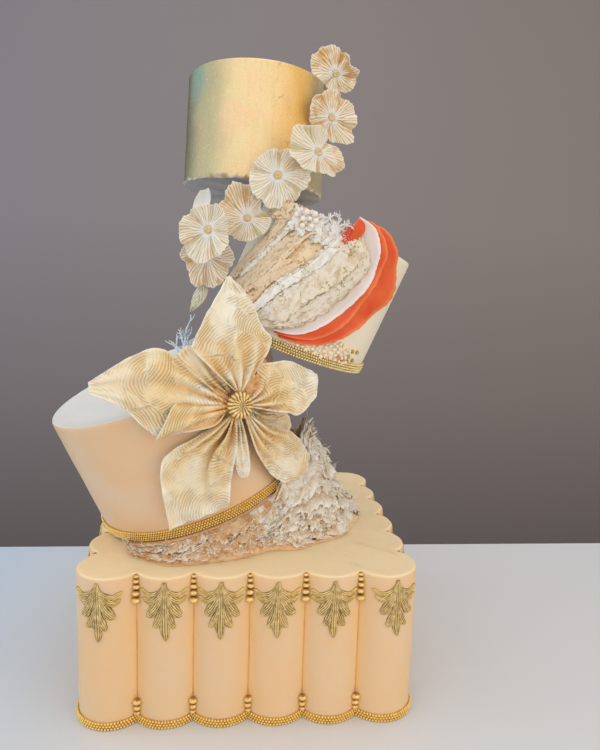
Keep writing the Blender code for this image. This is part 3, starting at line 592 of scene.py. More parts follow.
def new_material(name, roughness, metallic=0.0, subsurface=0.0):
    material = bpy.data.materials.new(name)
    material.use_nodes = True
    shader = material.node_tree.nodes["Principled BSDF"]
    shader.inputs["Roughness"].default_value = roughness
    shader.inputs["Metallic"].default_value = metallic
    if subsurface:
        shader.inputs["Subsurface Weight"].default_value = subsurface
        shader.inputs["Subsurface Radius"].default_value = (1.0, 0.6, 0.35)
        shader.inputs["Subsurface Scale"].default_value = 0.004
    return material, material.node_tree, shader


def place_node(tree):
    return add(tree, "ShaderNodeTexCoord").outputs["Object"]


def noise_node(tree, scale, detail=3.0, distortion=0.0, vector=None):
    node = add(tree, "ShaderNodeTexNoise", Scale=scale, Detail=detail, Distortion=distortion)
    tree.links.new(vector or place_node(tree), node.inputs["Vector"])
    return node.outputs["Fac"]


def spread(tree, value, low, high, out_low=0.0, out_high=1.0):
    """Remaps a value's range, clamped."""
    node = add(tree, "ShaderNodeMapRange", Value=value, From_Min=low, From_Max=high, To_Min=out_low,
               To_Max=out_high)
    return node.outputs["Result"]


def patches(tree, scale, detail, low, high, out_low=0.0, out_high=1.0, distortion=0.0):
    """Noise whose range is remapped, clamped."""
    return spread(tree, noise_node(tree, scale, detail, distortion), low, high, out_low, out_high)


def mix(tree, factor, first, second):
    """Blends two colours, each another node's output or its 0-255 values."""
    first, second = (srgb(*c) if isinstance(c, tuple) else c for c in (first, second))
    return add(tree, "ShaderNodeMixRGB", Fac=factor, Color1=first, Color2=second).outputs["Color"]


def maths(tree, operation, first, second=0.0):
    node = add(tree, "ShaderNodeMath", {"operation": operation}, Input_0=first, Input_1=second)
    return node.outputs["Value"]


def plus(tree, first, second):
    return maths(tree, "ADD", first, second)


def times(tree, first, second):
    return maths(tree, "MULTIPLY", first, second)


def attribute(tree, name):
    return add(tree, "ShaderNodeAttribute", {"attribute_name": name}).outputs["Fac"]


def paint(tree, shader, colour):
    tree.links.new(colour, shader.inputs["Base Color"])


def bump(tree, shader, height, strength, distance):
    node = add(tree, "ShaderNodeBump", Strength=strength, Distance=distance, Height=height)
    tree.links.new(node.outputs["Normal"], shader.inputs["Normal"])


def specks(tree, scale, share, size):
    """Sparse dark dots: 1 on a dot."""
    cells = add(tree, "ShaderNodeTexVoronoi", Scale=scale, Vector=place_node(tree))
    dots = spread(tree, cells.outputs["Distance"], size, 0.6 * size)
    return times(tree, dots, spread(tree, cells.outputs["Color"], 1 - share, 1 - share + 0.01))


def cracks(tree, scale, swirl_scale, amount):
    """Distance to the nearest of a net of curving lines."""
    swirl = add(tree, "ShaderNodeTexNoise", Scale=swirl_scale, Detail=3, Vector=place_node(tree))
    shift = add(tree, "ShaderNodeVectorMath", {"operation": "SCALE"}, Input_0=swirl.outputs["Color"],
                Scale=amount)
    spot = add(tree, "ShaderNodeVectorMath", {"operation": "ADD"}, Input_0=place_node(tree),
               Input_1=shift.outputs["Vector"])
    net = add(tree, "ShaderNodeTexVoronoi", {"feature": "DISTANCE_TO_EDGE"}, Scale=scale,
              Vector=spot.outputs["Vector"])
    return net.outputs["Distance"]


def fondant(name, main, other, deep=None, head=None, roughness=0.5, speck_share=0.12):
    """Smooth sugar paste: a slow drift between two tones, sparse specks, and painted light: a brighter orange
    by the creases and a lighter head.
    """
    material, tree, shader = new_material(name, roughness, subsurface=0.3)
    colour = mix(tree, patches(tree, 22, 4, 0.35, 0.65), main, other)
    # Painted light: deep is a brighter orange by the creases, bounce light that outweighs their shade, and
    # head lightens the top.
    if deep:
        colour = mix(tree, attribute(tree, "crease"), colour, deep)
    if head:
        colour = mix(tree, attribute(tree, "head"), colour, head)
    paint(tree, shader, mix(tree, specks(tree, 45, speck_share, 0.05), colour, (120, 78, 50)))
    fine = noise_node(tree, 420, 4)
    bump(tree, shader, plus(tree, fine, times(tree, noise_node(tree, 55, 3), 2.5)), 0.25, 0.0006)
    return material


def gold_beads(name, bright, dark, roughness=0.3, metallic=0.4):
    """Gold dusted sugar: patches of bright dust and darker ones where the dust is thin."""
    material, tree, shader = new_material(name, roughness, metallic)
    paint(tree, shader, mix(tree, patches(tree, 260, 3, 0.35, 0.65), bright, dark))
    rough = patches(tree, 600, 3, 0.3, 0.7, roughness - 0.08, roughness + 0.18)
    tree.links.new(rough, shader.inputs["Roughness"])
    bump(tree, shader, noise_node(tree, 1500, 3), 0.25, 0.0003)
    return material


def old_gold():
    """Moulded paste brushed with gold: dull and dark in the hollows, pale on the ridges, partly the gold
    brushed on thinner in the hollows and partly painted shade and painted highlight; bright on the tips.
    """
    material, tree, shader = new_material("old_gold", 0.4, 0.45)
    worn = plus(tree, attribute(tree, "ridge"), patches(tree, 240, 4, 0.3, 0.7, -0.2, 0.2))
    low = mix(tree, spread(tree, worn, 0.05, 0.5), (98, 72, 34), (192, 158, 94))
    colour = mix(tree, spread(tree, worn, 0.5, 0.95), low, (250, 222, 158))
    paint(tree, shader, mix(tree, attribute(tree, "tip"), colour, (252, 210, 116)))
    bump(tree, shader, noise_node(tree, 900, 4), 0.3, 0.0004)
    return material


def gold_shells():
    """Piped shells brushed with gold: a painted highlight round the middle, painted shade in brown between
    one shell and the next.
    """
    material, tree, shader = new_material("gold_shells", 0.32, 0.4)
    ridge = plus(tree, attribute(tree, "ridge"), patches(tree, 420, 3, 0.3, 0.7, -0.25, 0.25))
    low = mix(tree, spread(tree, ridge, 0.2, 0.7), (164, 116, 56), (234, 190, 108))
    paint(tree, shader, mix(tree, spread(tree, ridge, 0.7, 1.05), low, (252, 220, 148)))
    bump(tree, shader, noise_node(tree, 900, 3), 0.5, 0.0004)
    return material


def gold_leaf():
    """Gold leaf: a painted highlight in front, deeper on the right, painted shade on the left, at the turning
    edges and on the right side, a painted bluish window reflection on the left, bare by the ragged foot.
    """
    material, tree, shader = new_material("gold_leaf", 0.5, 0.32)
    streak = add(tree, "ShaderNodeMapping", Vector=place_node(tree), Scale=(1, 1, 0.1))
    brushed = noise_node(tree, 260, 5, 0.4, streak.outputs["Vector"])
    colour = mix(tree, patches(tree, 26, 4, 0.42, 0.62, distortion=1.2), (244, 218, 162), (248, 212, 162))
    for name, tone in GOLD_LEAF_TONES.items():
        colour = mix(tree, attribute(tree, name), colour, tone)
    colour = mix(tree, spread(tree, brushed, 0.5, 0.8, 0, 0.10), colour, (190, 150, 84))
    colour = mix(tree, patches(tree, 800, 3, 0.58, 0.70, 0, 0.28), colour, (176, 138, 80))
    colour = mix(tree, patches(tree, 650, 2, 0.60, 0.72, 0, 0.35), colour, (255, 240, 200))
    crack = spread(tree, cracks(tree, 42, 60, 0.02), 0.012, 0.004)
    crack = times(tree, times(tree, crack, patches(tree, 22, 2, 0.55, 0.6)), attribute(tree, "deep"))
    colour = mix(tree, crack, colour, (126, 92, 48))
    bare = attribute(tree, "bare")
    paste = mix(tree, patches(tree, 90, 3, 0.4, 0.6), (206, 202, 192), (168, 140, 92))
    paint(tree, shader, mix(tree, bare, colour, paste))
    tree.links.new(spread(tree, bare, 0, 1, 0.32, 0.0), shader.inputs["Metallic"])
    tree.links.new(spread(tree, brushed, 0.3, 0.7, 0.46, 0.6), shader.inputs["Roughness"])
    grain = plus(tree, noise_node(tree, 420, 4), times(tree, brushed, 0.5))
    bump(tree, shader, maths(tree, "SUBTRACT", grain, crack), 0.35, 0.0006)
    return material


def bow_paste():
    """Rolled ivory paste pressed with wood grain: yellow grooves, white rims, and orange in the deep folds
    and by the button, partly dust and partly painted shade.
    """
    material, tree, shader = new_material("bow_paste", 0.5, subsurface=0.15)
    phase = plus(tree, attribute(tree, "grain"), times(tree, noise_node(tree, 150, 2), 0.5))
    line = maths(tree, "SINE", times(tree, phase, tau))
    pressed = times(tree, attribute(tree, "press"), patches(tree, 48, 2, 0.40, 0.56, 0.25, 1.0))
    groove = times(tree, spread(tree, line, 0.1, 0.8), pressed)
    dusted = patches(tree, 24, 3, 0.42, 0.58, distortion=0.5)
    paste = mix(tree, dusted, (240, 229, 205), (237, 211, 162))
    lined = mix(tree, dusted, (204, 172, 100), (214, 162, 76))
    # Orange to brown in the folds: partly dust, partly painted shade
    fold = attribute(tree, "fold")
    paste = mix(tree, spread(tree, fold, 0.2, 0.65, 0, 0.7), paste, (242, 202, 140))
    colour = mix(tree, times(tree, groove, 0.85), paste, lined)
    colour = mix(tree, spread(tree, fold, 0.35, 0.8, 0, 0.85), colour, (234, 178, 108))
    colour = mix(tree, spread(tree, fold, 0.65, 1.0, 0, 0.9), colour, (176, 100, 48))
    paint(tree, shader, mix(tree, attribute(tree, "rim"), colour, (250, 245, 232)))
    height = times(tree, times(tree, line, pressed), -0.5)
    bump(tree, shader, plus(tree, height, times(tree, noise_node(tree, 260, 3), 0.7)), 0.9, 0.0008)
    return material


def wafer(name, white, gold, tint, amount):
    """Wafer paper pressed with gills: pale ridges, gold dusted grooves, a pale rim and a mauve throat."""
    material, tree, shader = new_material(name, 0.6, subsurface=0.12)
    ridge = attribute(tree, "ridge")
    patchy = patches(tree, 110, 4, 0.40, 0.62, distortion=0.6)
    dust = times(tree, attribute(tree, "dust"), spread(tree, patchy, 0, 1, 0.35, 1.0))
    groove = mix(tree, spread(tree, dust, 0.0, 1.0, 0.0, amount), tint, gold)
    groove = mix(tree, spread(tree, patchy, 0.0, 1.0, 0.3, 0.0), groove, white)
    colour = mix(tree, spread(tree, ridge, 0.18, 0.66), groove, white)
    colour = mix(tree, times(tree, spread(tree, dust, 0.35, 0.85, 0, 0.7), amount), colour, gold)
    colour = mix(tree, attribute(tree, "halo"), colour, (236, 231, 232))
    paint(tree, shader, mix(tree, attribute(tree, "rim"), colour, white))
    bump(tree, shader, noise_node(tree, 700, 3), 0.25, 0.0003)
    return material


def laced(name, light, warm, gold, rim=None):
    """Dry sugar lace: a painted highlight on the creases, painted shade, warm and darker, in the hollows;
    gold flecks, veins and torn edges.
    """
    material, tree, shader = new_material(name, 0.65, subsurface=0.25)
    # Painted shade in the hollows of the crumples and a painted highlight on their crests
    hollow = plus(tree, attribute(tree, "hollow"), patches(tree, 130, 4, 0.38, 0.62, -0.22, 0.22, 0.8))
    low, high = (0.1, 0.8) if rim else (0.2, 1.0)
    colour = mix(tree, spread(tree, hollow, low, high), light, warm)
    flecks = times(tree, patches(tree, 420, 3, 0.55, 0.61, distortion=0.8), patches(tree, 60, 2, 0.52, 0.60))
    vein = spread(tree, cracks(tree, 110, 90, 0.012), 0.03, 0.01)
    vein = times(tree, vein, patches(tree, 75, 3, 0.55, 0.60))
    gilt = maths(tree, "MAXIMUM", times(tree, flecks, 0.85), times(tree, vein, 0.7))
    edge = attribute(tree, "edge")
    if rim:
        colour = mix(tree, times(tree, edge, 0.9), colour, rim)
    else:
        edge = times(tree, edge, patches(tree, 260, 3, 0.42, 0.56))
        gilt = maths(tree, "MAXIMUM", gilt, times(tree, edge, 0.9))
    paint(tree, shader, mix(tree, gilt, colour, gold))
    bump(tree, shader, plus(tree, noise_node(tree, 500, 4), noise_node(tree, 190, 3, 1.0)), 0.3, 0.0006)
    return material


def ruffle(name, main, light, rim):
    """Smooth rolled paste, lighter towards its outer edge with a painted highlight."""
    material, tree, shader = new_material(name, 0.42, subsurface=0.15)
    colour = mix(tree, patches(tree, 45, 3, 0.35, 0.65), main, light)
    paint(tree, shader, mix(tree, attribute(tree, "edge"), colour, rim))
    bump(tree, shader, noise_node(tree, 260, 3), 0.15, 0.0005)
    return material


def plain(name, first, second, roughness, metallic=0.0, scale=120.0, strength=0.3):
    material, tree, shader = new_material(name, roughness, metallic)
    paint(tree, shader, mix(tree, patches(tree, scale, 4, 0.35, 0.65), first, second))
    bump(tree, shader, noise_node(tree, 4 * scale, 4), strength, 0.0005)
    return material


# ---------------------------------------------------------------- base tier

def column_centres():
    half = COLUMN_PITCH * (COLUMNS_PER_SIDE - 1) / 2
    corners = [Vector(corner) * half for corner in ((-1, -1), (1, -1), (1, 1), (-1, 1))]
    centres = []
    for side in range(4):
        start, end = corners[side], corners[(side + 1) % 4]
        centres += [start.lerp(end, i / (COLUMNS_PER_SIDE - 1)) for i in range(COLUMNS_PER_SIDE - 1)]
    return centres


def crease(centre, following, radius):
    """Where two columns of this radius meet, and the way out from there."""
    along = (following - centre).normalized()
    outward = Vector((along.y, -along.x))
    return (centre + following) / 2 + outward * sqrt(radius**2 - (COLUMN_PITCH / 2) ** 2), outward


def outline(offset):
    """Fluted outline moved out by an offset: (point, outward direction, nearness to a crease)."""
    radius = COLUMN_RADIUS + offset
    centres = column_centres()
    found = []
    for i, centre in enumerate(centres):
        start = crease(centres[i - 1], centre, radius)[0] - centre
        end = crease(centre, centres[(i + 1) % len(centres)], radius)[0] - centre
        steps = CORNER_STEPS if i % (COLUMNS_PER_SIDE - 1) == 0 else SIDE_STEPS
        first = atan2(start.y, start.x)
        sweep = (atan2(end.y, end.x) - first) % tau
        for k in range(steps):
            a = first + sweep * k / steps
            normal = Vector((cos(a), sin(a)))
            away = min(k, steps - k) / steps * sweep * radius
            found.append((centre + radius * normal, normal, exp(-away / (5 * MM))))
    return found


def make_base(material):
    levels = [(0, 0.0), (0, 1.5 * MM)] + [(0, BASE_HEIGHT * i / 16) for i in range(1, 16)]
    levels += [(inset * MM, BASE_HEIGHT + lift * MM) for inset, lift in BASE_RIM]
    line = outline(0)
    points, near, head = [], [], []
    for number, (inset, height) in enumerate(levels):
        left = len(levels) - number
        for p, normal, close in line:
            spot = Vector((p.x, p.y, height))
            out = inset
            if number > 0:
                out += (0.30 * wobble(spot, 0.045, 3) + 0.10 * wobble(spot, 0.010, 5)) * MM
            if left < 8:
                out += 0.5 * wobble(spot, 0.012, 8) * MM
            lift = (0.4 * wobble(spot, 0.02, 2) - 0.2) * MM if left <= 5 else 0
            points.append((p.x + normal.x * out, p.y + normal.y * out, max(height + lift, 0)))
            # crease holds the painted bounce light by the creases, head the painted light on the top
            near.append(close * (0.1 if left < 4 else 1))
            head.append(clamp((height - BASE_HEIGHT + 1.2 * MM) / MM))
    columns = len(line)
    ring = points[-columns:]
    for share in BASE_HEAD_RINGS:
        for x, y, _ in ring:
            spot = Vector((x * share, y * share, BASE_HEIGHT))
            points.append((spot.x, spot.y, BASE_HEIGHT + (0.5 * wobble(spot, 0.03, 2) - 0.6) * MM))
            near.append(0)
            head.append(1.0)
    faces = grid_faces(len(levels) + len(BASE_HEAD_RINGS), columns, True)
    faces.append(tuple(reversed(range(columns))))
    faces.append(tuple(range(len(points) - columns, len(points))))
    values = {"crease": near, "head": head}
    piece("base_fondant", points, faces, [material], "peach_fondant", ["base_tier"], values, sharp=55)


def even_path(points, pitch):
    """Points evenly spaced round a closed path, with the path's direction there."""
    ring = [Vector(p) for p in points]
    lengths = [(ring[(i + 1) % len(ring)] - p).length for i, p in enumerate(ring)]
    total = sum(lengths)
    count = round(total / pitch)
    found, i, run = [], 0, 0.0
    for k in range(count):
        want = total * k / count
        while run + lengths[i] < want:
            run += lengths[i]
            i += 1
        start, end = ring[i], ring[(i + 1) % len(ring)]
        found.append((start.lerp(end, (want - run) / lengths[i]), (end - start).normalized()))
    return found


def band(name, rows, columns, material):
    """A closed band out of four rings of points."""
    faces = grid_faces(4, columns, True)
    last = 3 * columns
    faces += [(last + k, last + (k + 1) % columns, (k + 1) % columns, k) for k in range(columns)]
    piece(name, rows, faces, [material], "gold_pearl", sharp=40)


def make_border(bead_material, backing_material):
    places = []
    for row, height in enumerate((1.55, 4.1, 6.6)):
        path = even_path([(p.x, p.y, height * MM) for p, _, _ in outline(0.95 * MM)], 2.75 * MM)
        for k, (p, along) in enumerate(path):
            if row % 2:
                p = p.lerp(path[(k + 1) % len(path)][0], 0.5)
            out = Vector((along.y, -along.x, 0))
            places.append((p, (along * 1.26 * MM, Vector((0, 0, 1.22 * MM)), out * 1.7 * MM)))
    piece("border_beads", *scatter(half_ball(8, 2), places), [bead_material], "gold_pearl", ["base_border"])
    outer, inner = outline(0.85 * MM), outline(0.15 * MM)
    rows = [(outer, 0.6), (outer, 7.5), (inner, 7.5), (inner, 0.6)]
    points = [(p.x, p.y, z * MM) for ring, z in rows for p, _, _ in ring]
    band("border_backing", points, len(outer), backing_material)


def make_drops(shell_material, shade_line_material):
    """Piped drops at the top and foot of each crease between columns, with a thin tan line down the crease
    that is painted shade.
    """
    centres = column_centres()
    shells, shade_lines = [], []
    draw = random.Random(4)
    half = COLUMN_PITCH / 2

    def rest(radius):
        """How far out of the crease the middle of a ball of this radius lies."""
        return sqrt((COLUMN_RADIUS + radius) ** 2 - half**2) - sqrt(COLUMN_RADIUS**2 - half**2)

    for i, centre in enumerate(centres):
        point, outward = crease(centre, centres[(i + 1) % len(centres)], COLUMN_RADIUS)
        across, out = Vector((-outward.y, outward.x, 0)), Vector((outward.x, outward.y, 0))
        low, high = BASE_HEIGHT - 0.5 * MM, BORDER_HEIGHT - 1 * MM + 1.85 * sum(FOOT_DROP_RADII)
        for height, radii in ((low, TOP_DROP_RADII), (high, FOOT_DROP_RADII)):
            for radius in radii:
                middle = Vector((*(point + outward * rest(0.85 * radius)), height - 0.92 * radius))
                middle += across * draw.uniform(-0.3, 0.3) * MM
                lift = Vector((0, 0, 0.84 * radius)) + across * draw.uniform(-0.12, 0.12) * radius
                wide = across * radius * draw.uniform(1.08, 1.2)
                shells.append((middle, (out * radius * 0.98, wide, lift)))
                height -= 1.85 * radius
        low -= 1.85 * sum(TOP_DROP_RADII)
        foot = point + outward * rest(0.3 * MM)
        path = [Vector((*foot, high + (low - high) * k / 12)) for k in range(13)]
        shade_lines.append(tube(path, [0.42 * MM] * 13))
    shell, shell_faces = ball(14, 9)
    bulge = 1 - shell[:, 2] ** 2
    shell = shell * (1 + 0.06 * np.cos(7 * np.arctan2(shell[:, 1], shell[:, 0])) * bulge)[:, None]
    # ridge: the painted highlight round each shell's middle, fading to painted shade where it meets the next
    values = {"ridge": list(1 - shell[:, 2] ** 2) * len(shells)}
    piece("crease_drops", *scatter((shell, shell_faces), shells), [shell_material], "gold_pearl", (), values)
    piece("crease_shade_lines", *join(shade_lines), [shade_line_material], "peach_fondant")


def leaf_lobe(path, widths, ridges, rise, bright, mirror, shift):
    """A closed ridged lobe on the unrolled column, in mm, as (points, faces, ridge values, tip values)."""
    steps_s, steps_t = 12, 3 * ridges
    points, ridge, tip = [], [], []
    radius = COLUMN_RADIUS + 0.05 * MM
    for i in range(steps_s + 1):
        s = i / steps_s
        here = spline(path, s) + Vector(shift) * s
        ahead = (spline(path, min(s + 0.03, 1)) - spline(path, max(s - 0.03, 0))).normalized()
        side = Vector((-ahead.y, ahead.x))
        half = spline([(w, 0) for w in widths], s).x * sqrt(max(0.02, 1 - ramp(s, 0.82) ** 2))
        grow = 0.35 + 0.65 * sin(pi * min(0.85, 0.12 + s))
        for j in range(steps_t + 1):
            u = 2 * j / steps_t - 1
            strand = 0.5 - 0.5 * cos(tau * ridges * (j / steps_t))
            dome = sqrt(max(0.0, 1 - u * u))
            high = 0.15 + rise * grow * (0.45 * dome + 0.4 * strand * (0.35 + 0.65 * dome))
            high += 1.3 * ramp(s, 0.78) ** 2 * dome
            spot = here + side * (u * half * (1 + 0.14 * sin(13 * s + 5 * u)))
            a = (-spot.x if mirror else spot.x) * MM / radius
            r = radius + min(high, 2.75) * MM
            points.append(Vector((r * sin(a), -r * cos(a), -spot.y * MM)))
            # ridge: paler on the ridges and darker in the hollows, partly painted highlight and painted shade
            ridge.append(min(1.0, 0.1 + 0.9 * strand) * (0.6 + 0.4 * dome))
            tip.append(bright * ramp(s, 0.45) * (0.25 + 0.75 * strand))
    columns = steps_t + 1
    faces = grid_faces(steps_s + 1, columns)
    loop = list(range(columns)) + [i * columns + steps_t for i in range(1, steps_s + 1)]
    loop += [steps_s * columns + j for j in reversed(range(steps_t))]
    loop += [i * columns for i in reversed(range(1, steps_s))]
    base, count = len(points), len(loop)
    for index in loop:
        p = points[index]
        inner = Vector((p.x, p.y)).normalized() * (COLUMN_RADIUS - 0.25 * MM)
        points.append(Vector((*inner, p.z)))
    faces += [(loop[k], base + k, base + (k + 1) % count, loop[(k + 1) % count]) for k in range(count)]
    faces.append(tuple(range(base, base + count)))
    return points, turned(faces) if mirror else faces, ridge + [0.0] * count, tip + [0.0] * count


def make_leaves(material):
    draw = random.Random(11)
    lobes = [(*lobe, mirror) for lobe in LEAF_LOBES for mirror in (False, True)] + [(*LEAF_STEM, False)]
    for i, centre in enumerate(column_centres()):
        parts = [leaf_lobe(*lobe, (draw.uniform(-1, 1), draw.uniform(-1.2, 1.2))) for lobe in lobes]
        points, faces = join(part[:2] for part in parts)
        ridge, tip = ([value for part in parts for value in part[k]] for k in (2, 3))
        side, spot = divmod(i, COLUMNS_PER_SIDE - 1)
        turn = 90 * side if spot else CORNER_LEAF_TURNS[side]
        put = Matrix.Translation((*centre, BASE_HEIGHT - LEAF_DROP + draw.uniform(-0.6, 0.4) * MM))
        put = put @ Matrix.Rotation(radians(turn + draw.uniform(-1.5, 1.5)), 4, "Z")
        piece(f"acanthus_{i + 1:02d}", [put @ p for p in points], faces, [material], "old_gold",
              [f"leaf_{i + 1:02d}"], {"ridge": ridge, "tip": tip})


# ---------------------------------------------------------------- round tiers

def make_round_tier(name, tier, materials, slot, rows=26, steps=160, values=None, rough=0.25, ragged=0.0):
    """Side, head and foot of a tier as one closed mesh: materials for the side, the head and the foot."""
    points, spots = [], []
    profile = [0.0, 0.012] + [(i + 1) / rows for i in range(rows - 1)] + [0.985, 1.0]
    turns = [360 * k / steps for k in range(steps)]
    for share in profile:
        for angle in turns:
            low, high = (tier.cut_height(end, angle, tier.radii[end]) for end in (0, 1))
            height = low + (high - low) * share
            spot = tier.at(angle, height)
            out = rough * wobble(spot, 0.035, 4) + 0.3 * rough * wobble(spot, 0.008, 6)
            out -= {0: 0.8, 1: 0.84}.get(share, 0)
            if ragged and height - low < 4 * MM:
                out += ragged * (1.2 * wobble(spot, 0.004, 9) - 0.2)
            drop = ragged * 1.2 * wobble(spot, 0.006, 13) * MM if share < 0.02 else 0
            points.append(tier.at(angle, height + drop, out * MM))
            spots.append((angle, height - low, height))
    slots = [0] * ((len(profile) - 1) * steps)
    for end, shares in ((1, HEAD_RINGS), (0, FOOT_RINGS)):
        for number, share in enumerate(shares):
            sink = -0.4 if end == 0 else 0.9 if number else 0.0
            for angle in turns:
                lift = (0.35 * wobble(tier.inside(end, angle, share), 0.03, 5) - sink) * MM
                points.append(tier.inside(end, angle, share, lift))
                spots.append((angle, 50 * MM, 50 * MM))
        slots += [1 if end else 2] * (len(shares) * steps + 1)
    faces = grid_faces(len(profile), steps, True)
    head = len(profile) * steps
    foot = head + len(HEAD_RINGS) * steps
    following = [(k, (k + 1) % steps) for k in range(steps)]
    faces += [(head - steps + k, head - steps + j, head + j, head + k) for k, j in following]
    faces += grid_faces(len(HEAD_RINGS), steps, True, head)
    faces.append(tuple(range(foot - steps, foot)))
    faces += [(j, k, foot + k, foot + j) for k, j in following]
    faces += turned(grid_faces(len(FOOT_RINGS), steps, True, foot))
    faces.append(tuple(reversed(range(len(points) - steps, len(points)))))
    data = values(spots, points) if values else None
    piece(name + "_skin", points, faces, materials, slot, [name], data, slots, sharp=50)


def gold_values(spots, points):
    """How deep the gold leaf is at each point of tier 4, how much painted highlight, painted shade and
    painted bluish window reflection it gets, and where it is bare.
    """
    def near(turn, middle, width):
        return bump_at((turn - middle + 180) % 360 - 180, 0, width)

    found = {key: [] for key in (*GOLD_LEAF_TONES, "bare")}
    for (turn, above, height), point in zip(spots, points):
        drifted = turn + 5 * wobble(point, 0.03, 31)
        reflection_band = bump_at(height / MM, 96, 20)
        shadow_side = 1 / (1 + exp(-((turn + 180) % 360 - 180 + 41) / 4.0))
        edge = 2.2 + 1.6 * wobble(point, 0.012, 21) + 1.6 * wobble(point, 0.003, 22)
        # Painted light: a lighter highlight in front, dark shade on the left and at the turning edges, grey
        # shade on the right side, a bluish window reflection on the left
        found["deep"].append(min(1, 0.95 * near(drifted, -54, 19) + 0.5 * near(turn, 110, 50)))
        found["pale"].append(0.85 * near(drifted, -128, 11))
        side = 0.5 * (near(turn, 60, 30) + near(turn, -37, 9))
        found["olive_shade"].append(min(1, near(drifted, -172, 36) + side))
        found["window_reflection"].append(0.8 * near(drifted, -147, 11) * reflection_band + 0.2 * near(turn, -150, 14))
        found["grey"].append(0.9 * shadow_side * near(turn, -18, 34))
        found["bare"].append(1.0 if above / MM < edge else 0.0)
    return found


def make_trim(name, tier, rows, pitch, radius, material, replaces=(), squash=1.0, slant=0.0):
    """Rows of beads round a tier's foot: rows are (height, distance out) in mm, every other one shifted."""
    places = []
    count = round(tau * tier.radii[0] / (pitch * MM))
    for number, (height, out) in enumerate(rows):
        for k in range(count):
            angle = 360 * (k + 0.5 * (number % 2)) / count
            low = tier.cut_height(0, angle, tier.radii[0])
            along, up, outward = tier.tangent(angle), tier.axis, tier.outward(angle)
            tilt = radians(slant if number % 2 else -slant)
            along, up = along * cos(tilt) + up * sin(tilt), up * cos(tilt) - along * sin(tilt)
            places.append((tier.at(angle, low + height * MM, out * MM),
                           (along * radius * MM, up * radius * squash * MM, outward * 1.35 * radius * MM)))
    piece(name, *scatter(half_ball(8, 2), places), [material], "gold_pearl", replaces)


def trim_backing(name, tier, out, material):
    steps = 160
    rows = []
    for height, distance in ((0.2, out), (9.8, out), (9.8, 0.1), (0.2, 0.1)):
        for k in range(steps):
            angle = 360 * k / steps
            foot = tier.cut_height(0, angle, tier.radii[0])
            rows.append(tier.at(angle, foot + height * MM, distance * MM))
    band(name, rows, steps, material)


# ---------------------------------------------------------------- fan of ruffles and lace

def fan_point(share, s):
    """(angle, height) at a share across the fan and s down it."""
    k = max(i for i in range(len(FAN) - 1) if FAN[i][0] <= share or i == 0)
    (low, near), (high, far) = FAN[k], FAN[k + 1]
    return spline(near, s).lerp(spline(far, s), (share - low) / (high - low))


def make_coral_curl(look):
    """Narrow tongue of coral paste beside the tip of the white ruffle."""
    film = Film(30, 14, "edge")
    for s in film.along():
        half = 3.4 * sin(pi * min(1, 0.22 + 0.76 * s)) ** 0.8
        for t in film.across():
            u = 2 * t - 1
            angle = -86.0 - 3.0 * s + half * u + 1.6 * sin(pi * s)
            height = 138.5 - 21 * s - 1.5 * u * (1 - s)
            out = 9.5 + 3.2 * (1 - u * u) * sin(pi * min(1, 0.15 + 0.85 * s)) + 0.8 * sin(6 * s)
            film.put(TIER_3.at(angle, height * MM, out * MM), ramp(abs(u), 0.8))
    film.make("coral_curl", 0.8 * MM, *look)


def make_tier_sheets(looks):
    for number, item in enumerate(FAN_SHEETS):
        film = Film(100, 18, "edge", "hollow")
        smooth = item.look in ("coral", "white")
        for place in film.along():
            s = 0.005 + 0.99 * place
            inner, outer = spline(item.inner, s), spline(item.outer, s)
            swell = sin(pi * s) ** 0.6
            rag = wobble((60 * s, number, 0), 1.0, 7, 3) + 0.6 * wobble((300 * s, number, 4), 1.0, 7, 2)
            rag *= item.ragged
            for t in film.across():
                angle, height = inner.lerp(outer, t * (1 + 0.015 * rag))
                angle += 0.5 * rag * t**3
                ripple = item.wave * sin(9 * pi * s) * swell * t
                out = 0.9 + 1.5 * item.layer + (item.lift * swell + ripple) * t
                crumple = crushed((1.3 * angle, 0.35 * height, number), 6, number, 3)
                if smooth:
                    out += item.crumple * wobble((angle, height, number), 12, number, 2) * (0.4 + 0.6 * t)
                else:
                    out += 0.3 * item.crumple * crumple
                film.put(TIER_3.at(angle, height * MM, max(out, 0.7) * MM), ramp(t, 0.86 if smooth else 0.95),
                         clamp(0.4 - 0.5 * crumple))
        film.make(item.name, (0.9 if smooth else 0.6) * MM, *looks[item.look], item.replaces)
    make_strips(looks)
    make_top_scraps(looks)
    make_coral_curl(looks["coral"])


def strip_plan(draw):
    """(share of the fan, width, start, end, look) of each torn strip."""
    plan = []
    for k in range(24):
        share = 0.02 + 0.96 * (k + draw.uniform(-0.3, 0.3)) / 23
        look = next(look for limit, look in STRIP_LOOKS if share < limit)
        if draw.random() < 0.25 and share > 0.5:
            look = "white_lace"
        start, end = draw.uniform(0.0, 0.25), draw.uniform(0.7, 0.98)
        if share > 0.75:
            start, end = draw.uniform(0.0, 0.1), draw.uniform(0.75, 0.98)
        if draw.random() < 0.35:
            start, end = sorted((draw.uniform(0, 0.5), draw.uniform(0.45, 1.0)))
            end = max(end, start + 0.25)
        plan.append((share, draw.uniform(0.05, 0.12), start, end, look))
    return plan


